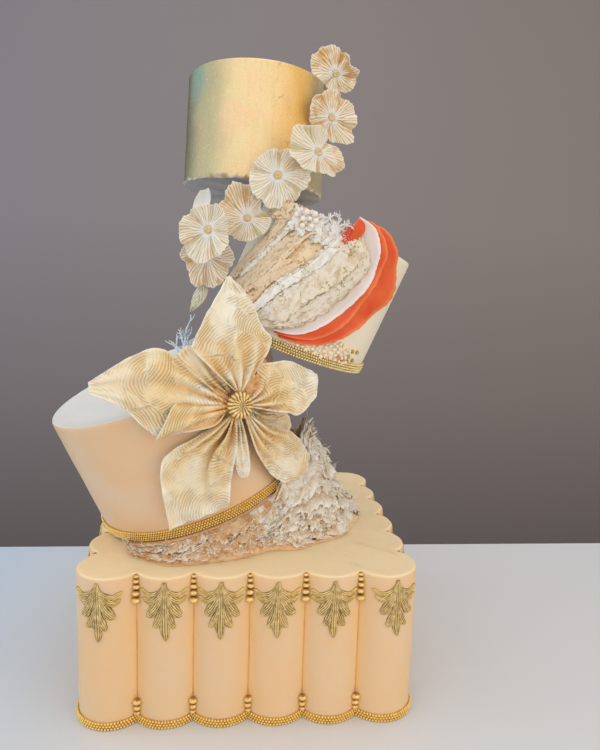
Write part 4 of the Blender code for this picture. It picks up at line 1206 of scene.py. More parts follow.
def make_strips(looks):
    """Torn strips of lace that lie over each other down the fan."""
    for number, (share, width, start, end, look) in enumerate(strip_plan(random.Random(43))):
        base = 4.6 if share < 0.62 else 4.0
        if share < 0.4:
            base = 8.3 - 20 * max(0.0, share - 0.27)
        film = Film(76, 6, "edge", "hollow")
        for s in film.along():
            run = start + (end - start) * s
            ends = taper(s, 0.02, 0.4)
            near, far = (0.35 * wobble((26 * s, number, 7 * side), 1, 3)
                         + 0.25 * wobble((110 * s, number, 7 * side), 1, 4) for side in (0, 1))
            for t in film.across():
                across = (t - 0.5 + near * (1 - t) ** 2 * 0.5 - far * t**2) * ends
                angle, height = fan_point(clamp(share + width * across + 0.012 * sin(9 * s + number)), run)
                crumple = crushed((1.3 * angle, 0.4 * height, number), 4.5, number, 3)
                out = base + 0.7 + 1.1 * t * ends * (1 if number % 2 else 0.4) + 0.4 * crumple
                film.put(TIER_3.at(angle, height * MM, max(out, 1.0) * MM), ramp(t, 0.90),
                         clamp(0.35 - 0.5 * crumple))
        film.make(f"lace_strip_{number + 1:02d}", LACE_STRIP, *looks[look])


def make_top_scraps(looks):
    """Crumpled scraps of lace along the upper end of the fan."""
    draw = random.Random(77)
    for number in range(13):
        middle = -143 + 4.3 * number + draw.uniform(-1.5, 1.5)
        look = "peach" if number in (1, 2, 4) else "lace" if number in (0, 3) else "white_lace"
        width, drop = draw.uniform(8, 13), draw.uniform(12, 22)
        film = Film(24, 18, "edge", "hollow")
        for s in film.along():
            for t in film.across():
                a = atan2(2 * t - 1, 2 * s - 1)
                limit = 0.78 + 0.3 * wobble((3 * cos(a), 3 * sin(a), number), 1, 6, 3)
                pull = min(1.0, limit / max(abs(cos(a)), abs(sin(a))))
                angle = middle + width * (t - 0.5) * pull * 1.3
                height = 122 - drop * (0.5 + (s - 0.5) * pull * 1.3) + 5
                crumple = crushed((1.3 * angle, height, number), 7, number, 3)
                out = 3.6 + 0.8 * (number % 3) + 0.9 * crumple + 0.8 * hypot(2 * s - 1, 2 * t - 1) ** 2
                film.put(TIER_3.at(angle, height * MM, max(out, 1.2) * MM),
                         ramp(max(abs(2 * s - 1), abs(2 * t - 1)), 0.85), clamp(0.25 - 0.4 * crumple))
        film.make(f"lace_scrap_{number + 1:02d}", LACE_STRIP, *looks[look])


# ---------------------------------------------------------------- bow

def bow_axes():
    across = Vector((0, 0, 1)).cross(BOW_FACING).normalized()
    return across, BOW_FACING.cross(across)


def bow_centre():
    return TIER_2.at(BOW_ANGLE, BOW_HEIGHT) + BOW_FACING * BOW_STANDOFF


def petal_axes(petal):
    """Directions along a petal, across it and out of it."""
    right, up = bow_axes()
    turn, lean = radians(petal.turn), radians(petal.lean)
    across = up * cos(turn) - right * sin(turn)
    along = (right * cos(turn) + up * sin(turn)) * cos(lean) - BOW_FACING * sin(lean)
    return along, across, along.cross(across)


def grain_rings(length, half, seed):
    """Patches of a pressed petal as (middle of the patch, middle of the rings its lines follow)."""
    draw = random.Random(40 + seed)
    rings = []
    for k in range(7):
        x = length * (0.12 + 0.8 * (k + draw.uniform(0, 0.8)) / 7)
        spot = Vector((x, half * draw.uniform(-0.8, 0.8)))
        turn = draw.uniform(0, tau)
        away = draw.uniform(16, 42)
        rings.append((spot, spot + Vector((cos(turn), sin(turn))) * away))
    return rings


def grain_at(x, y, rings, seed):
    """(phase, how deep the grain is pressed) at a place on a petal."""
    flat = (x, y, 0)
    warp = Vector((wobble(flat, 14, seed, 2), wobble(flat, 14, seed + 5, 2))) * 5
    spot = Vector((x, y))
    order = sorted(((spot + warp - middle).length, k) for k, (middle, _) in enumerate(rings))
    (nearest, patch), (second, _) = order[:2]
    phase = 0.39 * (spot - rings[patch][1]).length
    phase += 0.9 * wobble(flat, 20, seed, 2) + 0.2 * wobble(flat, 7, seed + 3, 2)
    return phase + 0.37 * patch, clamp((second - nearest - 0.6) / 2.4)


def make_petal(number, petal, material):
    centre = bow_centre()
    along, across, out = petal_axes(petal)
    small = petal.name in SMALL_PETALS
    film = Film(*((48, 32) if small else (80, 54)), "fold", "rim", "grain", "press")
    pleats = 2.6 if small else 3.6
    half = 0.5 * max(left[1] - right[1] for left, right in zip(petal.left, petal.right))
    rings = grain_rings(petal.left[-1][0], half, number)
    crossed = petal.name == CROSSED_PETAL
    for s in film.along():
        left_edge, right_edge = spline(petal.left, s), spline(petal.right, s)
        near, far = (0.9 * wobble((40 * s, 60 * side, number), 6, 2, 3) * min(1, 3 * s) for side in (0, 1))
        arch = sin(pi * s)
        lift = sin(pi * min(1, 0.08 + 1.02 * s)) if crossed else arch
        depth = (6.4 * exp(-s / 0.24) + 1.1 * exp(-s / 0.7)) * min(1, 4 * s + 0.15)
        for t in film.across():
            shift = near * max(0, 1 - 5 * t) - far * max(0, 5 * t - 4)
            x, y = left_edge.lerp(right_edge, t) + Vector((0.5 * shift, shift))
            flat = (x, y, 0)
            wave = cos(tau * pleats * (t + 0.05 * sin(4 * s + number)) + 1.3 * number)
            swell = wobble((x, y, 9 * number), 34, number, 2)
            dent = wobble(flat, 13, number + 6, 2)
            border = min(t, 1 - t, (1 - s) * 1.6)
            rise = petal.depth + petal.arch * arch + depth * copysign(abs(wave) ** 0.8, wave)
            rise += (1.6 if small else 3.8) * swell * s
            rise += (1.1 * dent + 0.35 * wobble(flat, 4.5, number + 9, 2)) * min(1, 3 * s)
            rise += 3.4 * exp(-border / 0.08) * wobble(flat, 15, number + 3, 2) * min(1, 2 * s)
            rise += lift * sum(high * bump_at(t, middle, width) for high, middle, width in petal.folds)
            valley, slide = 0.0, 0.0
            if crossed:
                slide = lift * (4.5 * bump_at(t, 0.42, 0.07) - 5.5 * bump_at(t, 0.27, 0.08))
                valley = 0.75 * bump_at(t, 0.40, 0.06) + 0.35 * bump_at(t, 0.13, 0.05)
                valley *= lift * exp(-s / 0.9)
            # Painted shade, partly dust: orange in the pleats' valleys, by the button, in hollows and in the
            # crossed petal's valley
            shade = max(0.0, -wave) ** 1.2 * (exp(-s / 0.25) + 0.10 * exp(-s / 0.7))
            low = 0.24 * max(0.0, -swell) + 0.18 * max(0.0, -dent) + 0.16 * exp(-s / 0.3)
            fold = min(1.0, 0.95 * shade + 0.5 * exp(-s / 0.05) + low + valley)
            rim = max(0.34 * ramp(s, 0.45), max(0.0, 1 - border / 0.035) * min(1, 1.5 * s) * 0.9)
            film.put(centre + (along * x + across * (y * petal.widen + slide) + out * rise) * MM,
                     fold, rim, *grain_at(x, y, rings, number))
    film.make(petal.name + "_skin", 1.1 * MM, material, "bow", [petal.name])


def make_roll(material):
    """Lower edge of the left petal, rolled up into an open cone."""
    along, across, out = petal_axes(next(petal for petal in PETALS if petal.name == "petal_left"))
    rings = grain_rings(70, 20, 12)
    film = Film(60, 52, "fold", "rim", "grain", "press")
    for s in film.along():
        for t in film.across():
            phi = radians(-62 + 300 * t)
            x = 11 + (52 + 7 * cos(phi - 0.3) + 0.8 * sin(3 * phi)) * s
            share = (x - 11) / 60
            middle, half, depth = 3 + 14.5 * share, 2.2 + 13.0 * share**0.9, 2.2 + 6.8 * share**0.8
            pleat = 1.6 * sin(5 * phi + 3) * exp(-1.6 * s) + 0.8 * wobble((x, 9 * phi, 0), 8, 4, 2) * s
            y = middle + (half + pleat) * cos(phi)
            rise = 1.4 + 3.0 * sin(pi * min(1, 0.75 * share)) + (depth + pleat) * (0.45 + 0.75 * sin(phi))
            # Painted shade, partly dust: orange inside the roll and in its pleats
            hollow = max(bump_at(t, 0.97, 0.16), bump_at(t, 0.0, 0.10))
            fold = 0.34 + 0.5 * exp(-s / 0.2) + 0.7 * hollow + 0.8 * max(0, -sin(5 * phi + 3)) * exp(-2 * s)
            film.put(bow_centre() + (along * x + across * y + out * rise) * MM,
                     min(1, fold), max(0.0, 1 - (1 - s) / 0.035), *grain_at(x, 0.8 * half * phi, rings, 5))
    film.make("bow_roll", 1.0 * MM, material, "bow")


def make_gather(material):
    """Crumpled ends of paste that show behind the middle of the bow."""
    right, up = bow_axes()
    for number, (start, end, reach, depth) in enumerate(GATHERS):
        film = Film(28, 24)
        for s in film.along():
            for t in film.across():
                a = radians(start + (end - start) * t)
                length = 6 + (reach - 6) * s * (1 + 0.14 * wobble((9 * t, number, 0), 1, 3))
                rise = depth + 3.2 * crushed((s * 30, t * 24, number * 9), 9, number, 3) * (0.3 + 0.7 * s)
                film.put(bow_centre() + ((right * cos(a) + up * sin(a)) * length + BOW_FACING * rise) * MM)
        film.make(f"bow_gather_{number + 1}", 0.9 * MM, material, "bow")


def make_button(material):
    """Pressed gold rosette in the middle of the bow."""
    right, up = bow_axes()
    steps = 108
    points, ridge, tips = [], [], []
    for rise, reach in BUTTON_PROFILE:
        for k in range(steps):
            a = tau * k / steps
            lobes = abs(sin(9 * a)) if reach > 0.55 else abs(sin(7 * a + 0.4))
            outer = reach * (1 + 0.07 * (lobes - 0.5)) if rise > 3.5 else reach
            high = rise + (1.3 * (lobes - 0.5) if rise > 4 else 0)
            radial = right * cos(a) + up * sin(a)
            points.append(bow_centre() + BOW_FACING * high * MM + radial * outer * BUTTON_RADIUS)
            # ridge: paler on the ridges and darker between them, partly painted highlight and painted shade
            ridge.append(0.15 + 0.8 * lobes * (rise > 3.5))
            tips.append(0.35 * lobes * (reach > 0.8))
    faces = grid_faces(len(BUTTON_PROFILE), steps, True)
    faces.append(tuple(reversed(range(steps))))
    faces.append(tuple(range(len(points) - steps, len(points))))
    piece("bow_rosette", points, faces, [material], "old_gold", ["bow_button"], {"ridge": ridge, "tip": tips})


# ---------------------------------------------------------------- flowers

def facing_axes(facing):
    turn, tilt = (radians(a) for a in facing)
    out = Vector((sin(turn) * cos(tilt), -cos(turn) * cos(tilt), sin(tilt)))
    right = Vector((0, 0, 1)).cross(out).normalized()
    return right, out.cross(right), out


def make_flower(number, flower, button_material):
    steps, gills = 288, 30
    material = wafer(flower.name + "_wafer", (240, 230, 210), (206, 150, 62), flower.tint, flower.gold)
    right, up, out = facing_axes(flower.facing)
    centre = Vector(flower.centre)
    table = [(36 * i, r) for i, r in enumerate(flower.reach)]
    draw = random.Random(60 + number)
    valleys = [tau * (k + draw.uniform(-0.2, 0.2)) / 5 + number for k in range(5)]
    film = Film(len(FLOWER_RINGS) - 1, steps - 1, "ridge", "rim", "dust", "halo")
    for _, reach in zip(film.along(), FLOWER_RINGS):
        doubled = clamp((reach - 0.50) / 0.12)
        for k in range(steps):
            a = tau * k / steps
            round_spot = (2 * cos(a), 2 * sin(a), number)
            valley = max(exp(-((((a - v + pi) % tau) - pi) / 0.15) ** 2) for v in valleys)
            edge = round_value(table, to_degrees(a)) * (1 - 0.10 * valley)
            edge *= 1 + 0.05 * wobble((8 * cos(a), 8 * sin(a), number), 1, 3)
            phase = gills * (a + 0.05 * sin(4 * reach + number)) + 3.4 * wobble(round_spot, 1, 5)
            phase += 0.9 * wobble((9 * cos(a), 9 * sin(a), reach), 1, 4)
            gill = 0.5 + 0.5 * ((1 - doubled) * cos(phase) + doubled * cos(2 * phase))
            rise = flower.cup * reach**2 + 2.8 * reach**2 * sin(2 * a + 2.1 * number)
            rise += 2.2 * reach**2 * sin(3 * a + number) + 1.8 * reach**3 * sin(8 * a + 2 * number)
            rise -= 3.6 * reach * valley * min(1, 3 * (reach - 0.1))
            if reach > 0.12:
                rise += 0.9 * gill * min(1, 4 * (reach - 0.12)) * (1 - 0.3 * reach)
            rise += 1.5 * bump_at(reach, 0.21, 0.05)
            ridge = (gill if reach > 0.24 else 0.9) * (1 - 0.6 * valley)
            way = 0.5 + 0.5 * cos(a - radians(flower.dusted))
            dust = (flower.cover + (1 - flower.cover) * way) * min(1, 0.25 + reach)
            veins = 0.6 * bump_at(reach, 0.34, 0.16) * gill**2 * (0.5 + wobble(round_spot, 1, 8))
            halo = clamp(0.75 * bump_at(reach, 0.17, 0.11) * (0.6 + 0.4 * gill) + veins)
            film.put(centre + ((right * cos(a) + up * sin(a)) * edge * reach + out * rise) * MM,
                     ridge, ramp(reach, 0.95) * 0.8, dust, halo)
    hub = (centre + out * 1.0 * MM, 0.5, 0, 0.5, 1)
    film.make(flower.name + "_skin", 0.55 * MM, material, "wafer", [flower.name], hub)
    dome, dome_faces = ball(20, 10)
    points = []
    for p in dome:
        bulge = 1 + 0.12 * wobble(Vector(p) * 3, 1, number)
        flat = (right * p[0] + up * p[1]) * 3.4 * MM * bulge
        high = p[2] * 2.2 - 1.6 * bump_at(hypot(p[0], p[1]), 0.0, 0.35) * (p[2] > 0)
        points.append(centre + flat + out * (high * bulge + 1.4) * MM)
    piece(flower.name + "_button", points, dome_faces, [button_material], "wafer")


def make_small_leaf(material):
    """Small pointed wafer leaf beside the bow's upper tip."""
    along = SMALL_LEAF_TIP - SMALL_LEAF_BASE
    across = Vector((0.9, -0.2, 0.1)).cross(along).cross(along).normalized()
    out = along.cross(across).normalized()
    film = Film(40, 22, "ridge", "rim", "dust", "halo")
    for s in film.along():
        half = 0.5 * SMALL_LEAF_WIDTH * sin(pi * min(1, 0.08 + 0.92 * s) ** 0.75) ** 0.8 + 0.3 * MM
        for t in film.across():
            u = 2 * t - 1
            vein = cos(26 * (s - 0.55 * abs(u)))
            bend = (2.2 * abs(u) + 1.5 * sin(pi * s) + 0.35 * vein) * MM
            film.put(SMALL_LEAF_BASE + along * (s + 0.03 * sin(3 * u)) + across * (u * half) + out * bend,
                     0.5 + 0.5 * vein, ramp(abs(u), 0.86), 0.5, 0.0)
    film.make("small_leaf_skin", 0.6 * MM, material, "wafer", ["small_leaf"])


def make_curl(material):
    """Spare petal that cups up behind the sixth flower."""
    start, end = Vector((-0.0530, -0.076, 0.4570)), Vector((-0.0480, -0.071, 0.4810))
    across = Vector((0.94, -0.34, 0)).normalized()
    film = Film(30, 24, "ridge", "rim", "dust", "halo")
    for s in film.along():
        width = 8.0 * MM * sin(pi * (0.14 + 0.78 * s)) ** 0.6
        for t in film.across():
            u = 2 * t - 1
            bend = 0.0055 * sin(pi * s) - 0.0045 * u * u
            film.put(start + (end - start) * (s + 0.05 * u) + across * (u * width) + Vector((0, bend, 0)),
                     0.75, max(ramp(abs(u), 0.88), ramp(s, 0.92)), 0.1, 0.6)
    film.make("curled_petal", 0.6 * MM, material, "wafer")


def wire_route():
    def behind(index, distance=2.2 * MM):
        flower = FLOWERS[index]
        return Vector(flower.centre) - facing_axes(flower.facing)[2] * distance

    return [
        behind(0), behind(0, 9 * MM) - Vector((0, 0, 0.014)),
        behind(1, 6 * MM) + Vector((0, 0, 0.012)), behind(1),
        behind(1, 10 * MM) - Vector((0, 0, 0.020)), behind(2, 9 * MM) + Vector((0, 0, 0.008)), behind(2),
        TIER_4.at(-58, 10 * MM, 1.1 * MM), behind(3), Vector((0.008, -0.064, 0.479)), behind(4),
        Vector((-0.030, -0.060, 0.453)), Vector((-0.043, -0.067, 0.449)), behind(5),
        Vector((-0.045, -0.070, 0.446)), Vector((-0.047, -0.057, 0.441)), behind(6),
        SMALL_LEAF_BASE + Vector((0, 0.004, 0.012)), SMALL_LEAF_BASE + Vector((0, 0.0022, 0)),
    ]


def make_wire(material):
    route = wire_route()
    points = [spline(route, i / 180) for i in range(181)]
    radii = [(0.75 + 0.08 * wobble(p, 0.004, 2)) * MM for p in points]
    found, faces = tube(points, radii, 8)
    piece("flower_stem", found, faces, [material], "wire", ["flower_wire"])


# ---------------------------------------------------------------- coral sprigs

def twigs(root, direction, length, radius, draw, depth, spread_angle):
    """A branching coral twig as tubes."""
    points, here, heading = [root.copy()], root.copy(), direction.normalized()
    steps = 6
    for _ in range(steps):
        heading = (heading + random_vector(draw, 0.28)).normalized()
        here = here + heading * length / steps
        points.append(here.copy())
    radii = [radius * (1 - 0.45 * i / steps) * draw.uniform(0.8, 1.2) for i in range(steps + 1)]
    parts = [tube(points, radii)]
    if depth:
        for i in range(2, steps + 1):
            if draw.random() < 0.75:
                branch = (heading + random_vector(draw, 1) * spread_angle).normalized()
                shorter = length * draw.uniform(0.3, 0.55)
                parts += twigs(points[i], branch, shorter, radius * 0.62, draw, depth - 1, spread_angle)
    return parts


def make_sprigs(left_material, right_material, pearl_material):
    draw = random.Random(5)
    root = Vector((-0.0740, 0.0, 0.3118))
    parts = []
    for lean in ((0.0, 0.0), (0.22, -0.1), (-0.12, 0.1), (0.34, 0.0), (0.1, 0.05), (0.45, -0.05)):
        parts += twigs(root, Vector((*lean, 1)), 0.034 if lean[0] == 0 else 0.024, 1.7 * MM, draw, 2, 0.8)
    piece("coral_left", *join(parts), [left_material], "white_sugar", ["sprig_left"])
    pearl = scatter(ball(14, 8), [(root + Vector((0.001, -0.004, 0.0015)), round_axes(2.6 * MM))])
    piece("coral_left_pearl", *pearl, [pearl_material], "white_sugar")
    parts = []
    for k in range(10):
        base = TIER_3.at(-104 + 1.6 * k, (126 + 1.4 * sin(2 * k)) * MM, 6 * MM)
        direction = TIER_3.outward(-95) * 0.3 + TIER_3.axis * draw.uniform(0.5, 1.0)
        direction += TIER_3.tangent(-95) * draw.uniform(-0.8, 0.8)
        parts += twigs(base, direction, draw.uniform(0.006, 0.010), 0.75 * MM, draw, 2, 1.1)
    piece("coral_right", *join(parts), [right_material], "white_sugar", ["sprig_right"])


# ---------------------------------------------------------------- lace heap

def heap_point(degrees, share, out=0.0):
    """Point on the heap: share 0 under the tier's middle, 1 at the tier's side, 2 at the toe."""
    a = radians(degrees)
    side = 1 / hypot(cos(a) / SHADOW[0], sin(a) / SHADOW[1])
    toe = round_value(LACE_TOE, degrees) * MM
    crest = round_value(LACE_CREST, degrees) * MM
    under = min(side, toe - 2 * MM)
    foot = TIER_2.foot
    if share <= 1:
        reach = under * share
        x, y = foot.x + reach * cos(a), foot.y + reach * sin(a)
        return Vector((x, y, max(TIER_2.height_over(0, x, y) - 1.5 * MM, BASE_HEIGHT + 0.4 * MM)))
    start = under + min(3.5 * MM, 0.5 * (toe - under))
    reach = start + (toe - start) * (share - 1)
    height = BASE_HEIGHT + crest * max(2 - share, 0) ** 1.3
    spot = Vector((foot.x + reach * cos(a), foot.y + reach * sin(a), max(height, BASE_HEIGHT + 0.5 * MM)))
    return spot + Vector((0.6 * cos(a), 0.6 * sin(a), 0.8)) * out


def make_heap(core_material, looks):
    steps = 240
    shares = [0.3, 0.7, 0.9, 1.0, 1.03, 1.08, 1.16, 1.26, 1.38, 1.5, 1.62, 1.74, 1.85, 1.93, 1.98]
    points = []
    for share in shares:
        for k in range(steps):
            degrees = -180 + 360 * k / steps
            out = (1.2 * crushed(heap_point(degrees, share), 0.012, 1) - 1.4) * MM if share > 1 else 0
            p = heap_point(degrees, share, out)
            points.append(Vector((p.x, p.y, max(p.z, BASE_HEIGHT + 0.35 * MM))))
    points += [Vector((p.x, p.y, BASE_HEIGHT + 0.05 * MM)) for p in points[-steps:]]
    faces = turned(grid_faces(len(shares) + 1, steps, True))
    faces.append(tuple(range(steps)))
    faces.append(tuple(reversed(range(len(points) - steps, len(points)))))
    values = {"edge": [0] * len(points), "hollow": [0.5] * len(points)}
    piece("lace_core", points, faces, [core_material], "lace", ["lace_heap"], values)
    make_heap_layers(looks)
    make_heap_crush(looks)
    make_heap_frills(looks)
    make_heap_curtain(looks)
    make_crest(looks[1])
    make_threads(looks[1])


def make_threads(material):
    """Loose curling threads along the lace."""
    draw = random.Random(31)
    steps = 5
    parts = []
    for number in range(820):
        degrees, share = draw.uniform(-140, 100), draw.uniform(1.0, 1.9)
        if number > 500:
            degrees, share = draw.uniform(-55, 60), draw.uniform(1.0, 1.5)
        elif degrees < -45 and draw.random() < 0.4:
            continue
        here = heap_point(degrees, share, draw.uniform(1.5, 7.5) * MM)
        a = radians(degrees)
        heading = Vector((cos(a), sin(a), draw.uniform(-0.2, 1.2))) + random_vector(draw, 1.2)
        heading.normalize()
        length = draw.uniform(4, 13) * MM
        points = [here]
        for _ in range(steps):
            heading = (heading + random_vector(draw, 0.7)).normalized()
            here = here + heading * length / steps
            here.z = max(here.z, BASE_HEIGHT + 0.8 * MM)
            points.append(here)
        parts.append(tube(points, [0.28 * MM * (1 - 0.1 * i) for i in range(steps + 1)], 3))
    points, faces = join(parts)
    values = {"edge": [0.1] * len(points), "hollow": [0.0] * len(points)}
    piece("lace_threads", points, faces, [material], "lace", (), values)


def make_crest(look):
    """Ragged wisps that stand up along the highest part of the heap."""
    for number in range(7):
        film = Film(48, 10, "edge", "hollow")
        for s in film.along():
            degrees = -40 + 7 * number + (34 - 2 * number) * s
            a = radians(degrees)
            away = Vector((cos(a), sin(a), 0.2))
            foot = heap_point(degrees, 1.0 + 0.06 * (number % 3), 1.0 * MM)
            tall = (9 - 2 * (number % 3)) * taper(s) * (1 + 0.5 * wobble((7 * s, number, 1), 1, 4, 2))
            for t in film.across():
                crumple = crushed((34 * s, 12 * t, 5 * number), 6, number, 3)
                wave = sin(19 * s + 2 * number + 3 * t)
                lean = 1.2 + (0.6 + 1.8 * t) * wave + 1.8 * crumple + 4.5 * t
                spot = foot + (away * max(lean, 0.3) + Vector((0, 0, tall * t))) * MM
                film.put(spot, ramp(t, 0.6), min(0.5, max(0, 0.1 - 0.1 * wave - 0.2 * crumple)))
        film.make(f"lace_crest_{number + 1}", LACE, look, "lace", tear=number + 120)


def frill(name, begin, end, width, number, look, bow=0.10, steps=(70, 8)):
    """One gathered frill along the heap from begin to end, each (degrees, share), on its inner edge."""
    film = Film(*steps, "edge", "hollow")
    waves = 5 + width * 0.5
    for s in film.along():
        degrees = begin[0] + (end[0] - begin[0]) * s
        share = begin[1] + (end[1] - begin[1]) * s - bow * sin(pi * s)
        rag = 0.30 * wobble((150 * s, number, 0), 1, 3, 2) + 0.36 * wobble((14 * s, number, 3), 1, 3, 2)
        swing = waves * s * 2 + 3 * number + 2.4 * wobble((6 * s, number, 7), 1, 2)
        for t in film.across():
            flop = width * t * (1 + rag * t) * taper(s)
            gather = 0.20 * width * sin(swing) * t
            fine = 0.11 * width * crushed((40 * s, 9 * t, number), 8, number, 2) * t
            out = 1.6 + 0.42 * flop * (1.25 - 0.55 * t) + gather + fine
            aside = 0.85 * flop
            reach = max(1.0, min(1.97, share + 0.0095 * aside))
            film.put(heap_point(degrees - 0.28 * aside, reach, max(out, 0.6) * MM), ramp(t, 0.72),
                     clamp(0.85 * (1 - t) ** 1.5 + 0.1 - 0.10 * gather))
    film.make(name, LACE, look, "lace", tear=number)


def make_heap_frills(looks):
    """Gathered frills over the high side, then wisps and hems in front, and more at the back."""
    draw = random.Random(29)
    count = 28
    for number in range(count):
        place = (number + draw.uniform(-0.35, 0.35)) / (count - 1)
        if place < 0.5:
            end = (-38 + 120 * place + draw.uniform(-5, 5), 1.9 - 0.5 * place + draw.uniform(-0.08, 0.08))
        else:
            end = (22 + 130 * (place - 0.5) + draw.uniform(-6, 6), 1.10 + 0.75 * draw.random())
        begin = (-62 + 26 * place + draw.uniform(-5, 5), 1.55 - 0.45 * place + draw.uniform(-0.08, 0.08))
        if place > 0.6:
            begin = (begin[0] + 55 * (place - 0.6) + 12, begin[1])
        frill(f"lace_frill_{number + 1:02d}", begin, end, draw.uniform(11, 22), number, looks[1])
    for row in FRILL_ROWS:
        for number in range(row.count):
            first = row.first + row.pitch * number + draw.uniform(-row.jitter, row.jitter)
            begin = (first, draw.uniform(*row.low))
            end = (first + draw.uniform(*row.sweep), draw.uniform(*row.high))
            look = looks[number % row.every in row.white]
            width = draw.uniform(*row.width)
            frill(f"{row.name}_{number + 1:02d}", begin, end, width, row.seed + number, look, 0.0, row.steps)


def make_heap_layers(looks):
    """Long torn layers that lie along the front of the heap."""
    draw = random.Random(21)
    for number in range(34):
        start, sweep = -165 + 5.4 * (number % 22) + draw.uniform(-8, 8), draw.uniform(24, 60)
        low, band = draw.uniform(1.02, 1.62), draw.uniform(0.22, 0.42)
        if number % 3 == 0:
            low, band = draw.uniform(1.35, 1.5), draw.uniform(0.44, 0.52)
        if number >= 22:
            start, sweep = -135 + 7.5 * (number - 22) + draw.uniform(-6, 6), draw.uniform(24, 44)
            low, band = draw.uniform(1.0, 1.3), draw.uniform(0.16, 0.34)
        film = Film(60, 6, "edge", "hollow")
        for s in film.along():
            degrees = start + sweep * s
            ends = taper(s, 0.02)
            rag = 0.12 * wobble((16 * s, number, 0), 1, 3) + 0.09 * wobble((90 * s, number, 0), 1, 4)
            for t in film.across():
                share = low + (band * t + rag * t) * ends
                crumple = crushed(heap_point(degrees, min(share, 2.0)), 0.009, number, 3)
                out = 0.9 + 0.45 * (number % 4) + 2.0 * t**2 * ends + 0.8 * crumple * (0.4 + t)
                film.put(heap_point(degrees, share, max(out, 0.2) * MM), ramp(t, 0.84),
                         clamp(0.3 - 0.6 * crumple + 0.45 * (1 - t)))
        film.make(f"lace_layer_{number + 1:02d}", LACE, looks[number % 3 == 1], "lace", tear=number + 80)


def make_heap_crush(looks):
    """Broad crushed patches that cover the high right side and the back of the heap."""
    for number, (first, last, inner, outer, lift) in enumerate(CRUSHED_PATCHES):
        film = Film(40, 21, "edge", "hollow")
        for s in film.along():
            for t in film.across():
                # Uneven borders: how far each of the four sides is pushed in or out here
                near, far = (0.16 * wobble((7 * s, number, k), 1, 2, 2)
                             + 0.10 * wobble((34 * s, number, k), 1, 5, 2) for k in (0, 1))
                left, right = (0.10 * wobble((7 * t, number, k), 1, 8, 2)
                               + 0.07 * wobble((30 * t, number, k), 1, 9, 2) for k in (0, 1))
                across = t + near * (1 - t) ** 3 + far * t**3
                run = s + left * (1 - s) ** 3 + right * s**3
                spot = heap_point(first + (last - first) * run, inner + (outer - inner) * across)
                drift = (wobble(spot, 0.016, number + 20), wobble(spot, 0.016, number + 21), 0)
                slip = Vector(drift) * 4 * MM
                degrees = first + (last - first) * run + to_degrees(slip.x / 0.14)
                share = inner + (outer - inner) * across + slip.y / 0.06 * (0.4 if inner > 1 else 0.15)
                coarse = crushed(spot, 0.022, number, 2)
                fine = crushed(spot + slip, 0.008, number + 3, 3)
                out = 1.2 + lift + 1.8 * coarse + 0.7 * fine
                film.put(heap_point(degrees, min(max(0.985, share), 1.99), max(out, 0.4) * MM), 0.0,
                         clamp(0.25 - 0.3 * coarse - 0.3 * fine))
        film.make(f"lace_crush_{number + 1:02d}", LACE_STRIP, looks[1], "lace")


def make_heap_curtain(looks):
    """Crumpled wisps that hang from the tier's foot on to the heap."""
    draw = random.Random(53)
    for number in range(12):
        first = -150 + 15 * number + draw.uniform(-4, 4)
        sweep = draw.uniform(24, 34)
        drop = draw.uniform(0.10, 0.34)
        film = Film(52, 8, "edge", "hollow")
        for s in film.along():
            degrees = first + sweep * s
            ends = taper(s)
            a = radians(degrees)
            away = Vector((cos(a), sin(a), 0.25))
            high = heap_point(degrees, 1.0) + away * 1.2 * MM
            rag = 0.5 * wobble((60 * s, number, 0), 1, 3, 2) + 0.4 * wobble((10 * s, number, 2), 1, 3, 2)
            low = heap_point(degrees, 1.02 + drop * ends * (1 + rag), 1.6 * MM)
            for t in film.across():
                folds = 1.7 * sin(15 * s + 2 * number + 2 * wobble((5 * s, 2 * t, number), 1, 2)) * ends
                crumple = 1.1 * crushed((50 * s, 14 * t, number), 6, number, 2)
                spot = high.lerp(low, t) + away * (0.8 + 2.6 * sin(pi * 0.75 * t) + folds * t + crumple) * MM
                film.put(Vector((spot.x, spot.y, max(spot.z, BASE_HEIGHT + 0.7 * MM))), ramp(t, 0.75),
                         clamp(0.5 - 0.2 * folds - 0.2 * crumple))
        film.make(f"lace_curtain_{number + 1:02d}", LACE, looks[number % 3 == 0], "lace", tear=number + 40)


# ---------------------------------------------------------------- dowels and pearls

def make_dowels(material):
    sides, radius = 40, 5 * MM
    for name, below, above, x, y in DOWELS:
        points = []
        for end in (0, 1):
            for k in range(sides):
                a = tau * k / sides
                px, py = x + radius * cos(a), y + radius * sin(a)
                z = below.height_over(1, px, py) - 1.5 * MM
                if end:
                    z = above.height_over(0, px, py) + 0.6 * MM
                points.append(Vector((px, py, z)))
        faces = grid_faces(2, sides, True)
        faces += [tuple(reversed(range(sides))), tuple(range(sides, 2 * sides))]
        piece(name + "_stub", points, faces, [material], "wood", [name], sharp=40)


